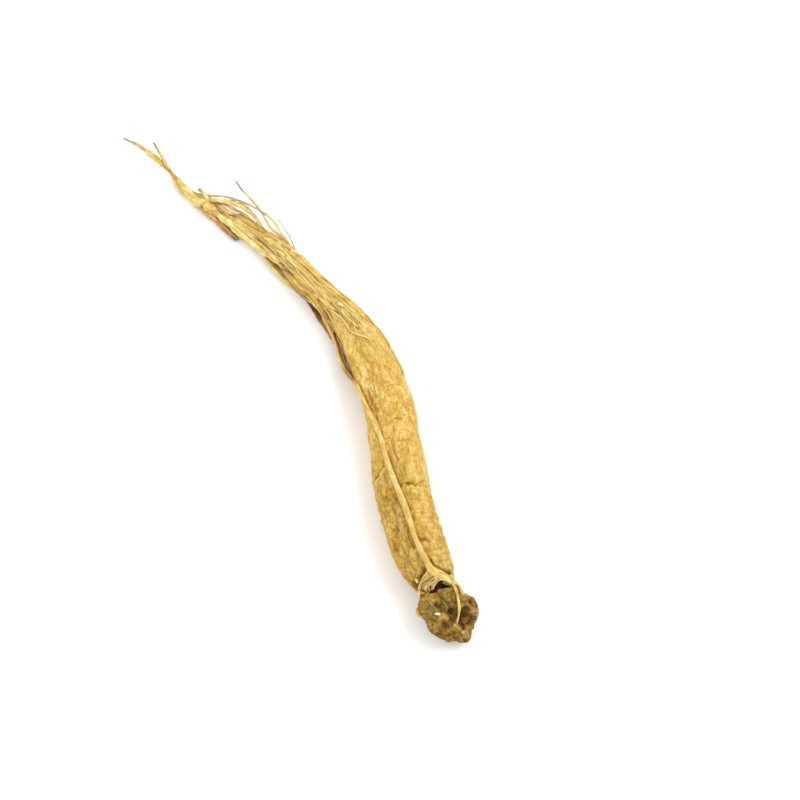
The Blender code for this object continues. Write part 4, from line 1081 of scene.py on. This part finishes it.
def skin_material(name, streak_length, streak_scale, streak_tint, grain, relief, roughness, shine):
    """Dried skin: the piece's own tones, broken by streaks, mottling and specks, and darker where the
    dark attribute holds the creases' brown and painted shade.

    Patterns read the piece's skin attribute, in millimetres: along it, and the two ways across.
    """
    material, tree, shader = new_material(name, roughness, shine)
    place = attribute(tree, "skin").outputs["Vector"]
    base = attribute(tree, "tone")
    tone = base.outputs["Color"]
    dark = attribute(tree, "dark").outputs["Fac"]
    gloss = attribute(tree, "gloss").outputs["Fac"]
    stretched = lengthened(tree, place, streak_length)
    drawn_out = lengthened(tree, place, streak_length**0.5)
    streaks = noise_field(tree, stretched, streak_scale, 5.0, 0.65)
    fibres = noise_field(tree, stretched, 3.2 * streak_scale, 4.0, 0.7)
    clouds = noise_field(tree, place, 0.22, 3.0)
    blotches = noise_field(tree, drawn_out, 0.38, 5.0, 0.66)
    mottle = noise_field(tree, drawn_out, 0.85, 6.0, 0.70)
    specks = noise_field(tree, place, grain, 6.0, 0.7)
    deep = mix(tree, "MULTIPLY", 1.0, tone, (0.74, 0.60, 0.38, 1))
    ochre = mix(tree, "MULTIPLY", 1.0, tone, (0.98, 0.82, 0.58, 1))
    pink = mix(tree, "MULTIPLY", 1.0, tone, (1.0, 0.86, 0.92, 1))
    paling = remap(tree, base.outputs["Fac"], 0.0, 0.20, 0.02, 0.22)
    pale = mix(tree, "SCREEN", paling, tone, (0.95, 0.82, 0.50, 1))
    # This brown carries the dark attribute into the colour: the creases' brown and the painted shade
    crease = mix(tree, "MULTIPLY", 1.0, tone, (0.30, 0.13, 0.03, 1))
    edge = maths(tree, "MULTIPLY", remap(tree, specks, 0.3, 0.7, 0.75, 1.2), dark)
    layers = (
        (streaks, 0.40, 0.60, streak_tint, 0.0, deep),
        (clouds, 0.50, 0.60, 0.0, 0.70, ochre),
        (clouds, 0.46, 0.36, 0.0, 0.50, pink),
        (blotches, 0.50, 0.59, 0.0, 0.70, deep),
        (blotches, 0.48, 0.39, 0.0, 0.75, pale),
        (mottle, 0.51, 0.60, 0.0, 0.75, pale),
        (mottle, 0.50, 0.40, 0.0, 0.75, deep),
        (specks, 0.53, 0.64, 0.0, 0.70, deep),
        (fibres, 0.54, 0.68, 0.0, 0.60, pale),
        (edge, 0.0, 1.0, 0.0, 0.95, crease),
    )
    skin = tone
    for pattern, start, end, low, high, tint in layers:
        skin = mix(tree, "MIX", remap(tree, pattern, start, end, low, high), skin, tint)
    plug(tree, skin, shader.inputs["Base Color"])
    matt = remap(tree, mottle, 0.3, 0.7, roughness - 0.08, roughness + 0.08)
    glassy = remap(tree, gloss, 0.0, 1.0, 0.0, 0.62)
    plug(tree, maths(tree, "SUBTRACT", matt, glassy), shader.inputs["Roughness"])
    height = maths(tree, "ADD", streaks, maths(tree, "MULTIPLY", specks, 0.6))
    height = maths(tree, "ADD", height, maths(tree, "MULTIPLY", mottle, 0.8))
    inputs = {"Height": height, "Strength": 0.8, "Distance": relief * MM}
    plug(tree, add_node(tree, "Bump", inputs).outputs[0], shader.inputs["Normal"])
    return material


def colour_property(name, description, default):
    """A colour that the user can change."""
    return FloatVectorProperty(
        name=name, description=description, default=default, subtype="COLOR", size=3, min=0.0, max=1.0
    )


LENGTH = {"subtype": "DISTANCE", "unit": "LENGTH"}
ANGLE = {"subtype": "ANGLE", "unit": "ROTATION"}
STRENGTH = {"subtype": "FACTOR", "min": 0.0, "max": 3.0}


class GinsengColours(bpy.types.PropertyGroup):
    __annotations__ = {
        key: colour_property(key.capitalize(), description, colour(*shown))
        for key, (description, shown) in TONES.items()
    }


class GinsengBody(bpy.types.PropertyGroup):
    belly_half_width: FloatProperty(
        name="Belly half-width", description="Half the width of the body where it is thickest",
        default=0.0079, min=0.004, max=0.012, **LENGTH
    )
    rows: IntProperty(name="Rows", description="Rings of faces along the body", default=540, min=60)
    columns: IntProperty(name="Columns", description="Faces round the body", default=180, min=24)
    fold_height: FloatProperty(
        name="Fold height", description="Strength of the fine wrinkles", default=1.0, **STRENGTH
    )
    ring_depth: FloatProperty(
        name="Ring depth", description="Depth of the fine rings on the shoulder",
        default=0.00019, min=0.0, max=0.001, **LENGTH
    )


class GinsengCrown(bpy.types.PropertyGroup):
    rows: IntProperty(name="Rows", description="Rings of faces from end to end", default=210, min=20)
    columns: IntProperty(name="Columns", description="Faces round the crown", default=300, min=24)
    relief: FloatProperty(
        name="Relief", description="Strength of the crown's fine wrinkles", default=1.0, **STRENGTH
    )


class GinsengStage(bpy.types.PropertyGroup):
    floor_colour: colour_property("Floor", "Colour of the floor", (0.92, 0.92, 0.92))
    floor_width: FloatProperty(
        name="Floor width", description="Side of the square floor", default=12.0, **LENGTH
    )
    elevation: FloatProperty(
        name="Elevation", description="How far the camera looks down", default=math.radians(60), **ANGLE
    )
    azimuth: FloatProperty(
        name="Azimuth", description="Direction of the picture's width on the floor, from +X",
        default=math.radians(58), **ANGLE
    )
    distance: FloatProperty(
        name="Distance", description="From the camera to what it looks at", default=0.56, **LENGTH
    )
    lens: FloatProperty(
        name="Lens", description="Focal length in millimetres", default=90.0, min=20.0, unit="CAMERA"
    )
    ambient: FloatProperty(
        name="Ambient", description="Strength of the soft light from all sides", default=1.18, min=0.0
    )
    key_power: FloatProperty(
        name="Key power", description="Power of the large soft lamp", default=6.5, min=0.0, unit="POWER"
    )


class GINSENG_OT_body(bpy.types.Operator):
    """Builds the wrinkled body, with its rings, creases, cracks and scars"""

    bl_idname = "ginseng.body"
    bl_label = "Body"

    def execute(self, context):
        sizes = context.scene.ginseng_body
        share = np.linspace(0, 1, sizes.rows)
        ends = BODY_STATIONS[0][0], SHOULDER_END, BODY_STATIONS[-1][0]
        x = np.interp(share, (0.0, SHOULDER_SHARE, 1.0), ends)
        even = np.linspace(0, 2 * math.pi, sizes.columns, endpoint=False)
        closer = even - COLUMN_CROWDING * np.sin(even - COLUMN_MIDDLE)
        x, angle = np.meshgrid(x, closer, indexing="ij")
        angle = turned(angle, 0)
        points, dark, place = body_skin(x, angle)
        tone = body_tone(x, angle, place)
        surface = {"points": points, "tone": tone, "dark": dark, "gloss": 0 * dark, "skin": place}
        make_piece("root_body", [surface])
        return {"FINISHED"}


class GINSENG_OT_crown(bpy.types.Operator):
    """Builds the knobbly crown with its stem scars, cracks and coloured bark"""

    bl_idname = "ginseng.crown"
    bl_label = "Crown"

    def execute(self, context):
        sizes = context.scene.ginseng_crown
        polar = (np.arange(sizes.rows) + 0.5) / sizes.rows * math.pi
        turn = np.linspace(0, 2 * math.pi, sizes.columns, endpoint=False)
        polar, turn = np.meshgrid(polar, turn, indexing="ij")
        across, upward = np.sin(polar) * np.sin(turn), np.sin(polar) * np.cos(turn)
        direction = np.stack([np.cos(polar), across, upward], -1)
        relief, dark, tone, gloss = crown_skin(direction)
        reach = crown_reach(direction) + sizes.relief * relief
        points = np.array(CROWN_CENTRE) + direction * reach[..., None]
        place = CROWN_SKIN_RADIUS * direction
        surface = {"points": points, "tone": tone, "dark": dark, "gloss": gloss, "skin": place}
        make_piece("root_crown", [surface])
        return {"FINISHED"}


class GINSENG_OT_side_root(bpy.types.Operator):
    """Builds the long side root that lies along the body from the neck to the tail"""

    bl_idname = "ginseng.side_root"
    bl_label = "Side root"

    def execute(self, context):
        x, degrees, radius = np.array(SIDE_ROOT_ON_BODY).T
        line = body_surface(x, np.radians(degrees), lift=0.25 * radius)
        slim = radius * np.interp(x, (20.0, 50.0, 79.0), (1.0, 0.88, 0.78))
        route = np.vstack([SIDE_ROOT_FOOT, np.column_stack([line, slim])[1:], SIDE_ROOT_BESIDE_BODY])
        strands = [(route, SIDE_ROOT_COLOURS, SIDE_ROOT_STAINS, 1)]
        make_piece("side_root", tubes("side_root", strands, touching=TAIL_ROUTES))
        return {"FINISHED"}


class GINSENG_OT_collar(bpy.types.Operator):
    """Builds the collar round the neck: bands of skin, a net of fibres and the thread on the crown"""

    bl_idname = "ginseng.collar"
    bl_label = "Collar"

    def execute(self, context):
        strands = [(route, [key], [stain], flat) for key, stain, flat, *route in COLLAR_BANDS.values()]
        make_piece("neck_collar", tubes("band", strands, touching=()))
        return {"FINISHED"}


class GINSENG_OT_tail(bpy.types.Operator):
    """Builds the strands and rootlets of the tail"""

    bl_idname = "ginseng.tail"
    bl_label = "Tail rootlets"

    def execute(self, context):
        strands = [(route, keys, stains, 1) for keys, stains, *route in TAIL_STRANDS.values()]
        make_piece("tail_rootlets", tubes("rootlet", strands, touching=[SIDE_ROOT_BESIDE_BODY]))
        return {"FINISHED"}


class GINSENG_OT_hairs(bpy.types.Operator):
    """Builds the loose hairs on the skin and beside the tail"""

    bl_idname = "ginseng.hairs"
    bl_label = "Hairs"

    def execute(self, context):
        surfaces = tubes("hair", [(on_skin(route), ["strap"], [0], 1) for route in SKIN_HAIRS])
        surfaces += tubes("free_hair", [(FREE_HAIR, ["grey"], [0.1], 1)])
        coloured = zip(fibre_routes(), itertools.cycle(FIBRE_COLOURS))
        surfaces += tubes("fibre", [(on_skin(route), [key], [0.2], 1) for route, key in coloured])
        make_piece("root_hairs", surfaces)
        return {"FINISHED"}


class GINSENG_OT_flakes(bpy.types.Operator):
    """Builds the papery flakes of skin on the body, at the neck and on the crown"""

    bl_idname = "ginseng.flakes"
    bl_label = "Flakes"

    def execute(self, context):
        flakes = [(on_skin(route), [key], [0], FLAKE_FLATNESS) for key, *route in BODY_FLAKES]
        flakes += [(route, [key], [0], FLAKE_FLATNESS) for key, *route in CROWN_FLAKES]
        make_piece("skin_flakes", tubes("flake", flakes))
        return {"FINISHED"}


class GINSENG_OT_stage(bpy.types.Operator):
    """Sets the pale floor, the soft light and the camera"""

    bl_idname = "ginseng.stage"
    bl_label = "Stage"

    def execute(self, context):
        self.lay_floor(context.scene.ginseng_stage)
        self.light_up(context.scene.ginseng_stage)
        self.place_camera(context.scene.ginseng_stage)
        return {"FINISHED"}

    def lay_floor(self, stage):
        """A matt square with a faint cloudiness, just under the root."""
        corners = np.array([(-1, -1, 0), (1, -1, 0), (1, 1, 0), (-1, 1, 0)]) * stage.floor_width / 2
        mesh = bpy.data.meshes.new("floor")
        mesh.from_pydata(corners - (0, 0, FLOOR_DROP), [], [(0, 1, 2, 3)])
        material, tree, shader = new_material("pale_floor", 0.9, 0.1)
        place = add_node(tree, "TexCoord").outputs["Object"]
        cloudy = remap(tree, noise_field(tree, place, 6.0, 3.0), 0.3, 0.7, 0.0, 0.03)
        white = mix(tree, "MIX", cloudy, (*stage.floor_colour, 1), (0.85, 0.85, 0.85, 1))
        plug(tree, white, shader.inputs["Base Color"])
        mesh.materials.append(material)
        floor = add_object("floor", mesh)

    def light_up(self, stage):
        """A pale sky all round, one large soft lamp above and a weaker one across from it."""
        world = bpy.data.worlds.new("soft_surround")
        world.use_nodes = True
        background = world.node_tree.nodes["Background"]
        background.inputs["Color"].default_value = (1.0, 1.0, 1.0, 1.0)
        background.inputs["Strength"].default_value = stage.ambient
        bpy.context.scene.world = world
        bpy.context.scene.view_settings.view_transform = "Standard"
        for name, place, size, share in LAMPS:
            light = bpy.data.lights.new(name, "AREA")
            light.size = size
            light.energy = stage.key_power * share
            self.aim(add_object(name, light), Vector(place), -Vector(place))

    def place_camera(self, stage):
        """The photograph's angle: it looks at LOOK_AT from distance away, at the elevation."""
        level = Vector((-math.sin(stage.azimuth), math.cos(stage.azimuth), 0))
        down = Vector((0, 0, -1))
        ahead = math.cos(stage.elevation) * level + math.sin(stage.elevation) * down
        lens = bpy.data.cameras.new("camera")
        lens.lens = stage.lens
        lens.sensor_width = 36.0
        lens.clip_start = 0.01
        camera = add_object("camera", lens)
        self.aim(camera, Vector(LOOK_AT) - stage.distance * ahead, ahead)
        bpy.context.scene.camera = camera

    def aim(self, item, place, ahead):
        """Puts a lamp or the camera at its place, looking ahead with its top upwards."""
        item.location = place
        item.rotation_mode = "QUATERNION"
        item.rotation_quaternion = ahead.to_track_quat("-Z", "Y")


OPERATORS = (
    GINSENG_OT_stage,
    GINSENG_OT_body,
    GINSENG_OT_crown,
    GINSENG_OT_side_root,
    GINSENG_OT_collar,
    GINSENG_OT_tail,
    GINSENG_OT_hairs,
    GINSENG_OT_flakes,
)
GROUPS = {
    "ginseng_colours": GinsengColours,
    "ginseng_body": GinsengBody,
    "ginseng_crown": GinsengCrown,
    "ginseng_stage": GinsengStage,
}


class VIEW3D_PT_ginseng(bpy.types.Panel):
    bl_label = "Ginseng Root"
    bl_idname = "VIEW3D_PT_ginseng"
    bl_space_type = "VIEW_3D"
    bl_region_type = "UI"
    bl_category = "Ginseng"

    def draw(self, context):
        for name, group in GROUPS.items():
            box = self.layout.box()
            box.label(text=group.__name__)
            for key in group.__annotations__:
                box.prop(getattr(context.scene, name), key)
        for operator in OPERATORS:
            self.layout.operator(operator.bl_idname)


CLASSES = (*GROUPS.values(), *OPERATORS, VIEW3D_PT_ginseng)


def register():
    for cls in CLASSES:
        bpy.utils.register_class(cls)
    for name, group in GROUPS.items():
        setattr(bpy.types.Scene, name, PointerProperty(type=group))


def unregister():
    for name in GROUPS:
        delattr(bpy.types.Scene, name)
    for cls in reversed(CLASSES):
        bpy.utils.unregister_class(cls)


def main():
    register()
    bpy.ops.ginseng.stage()
    bpy.ops.ginseng.body()
    bpy.ops.ginseng.crown()
    bpy.ops.ginseng.side_root()
    bpy.ops.ginseng.collar()
    bpy.ops.ginseng.tail()
    bpy.ops.ginseng.hairs()
    bpy.ops.ginseng.flakes()


if __name__ == "__main__":
    main()
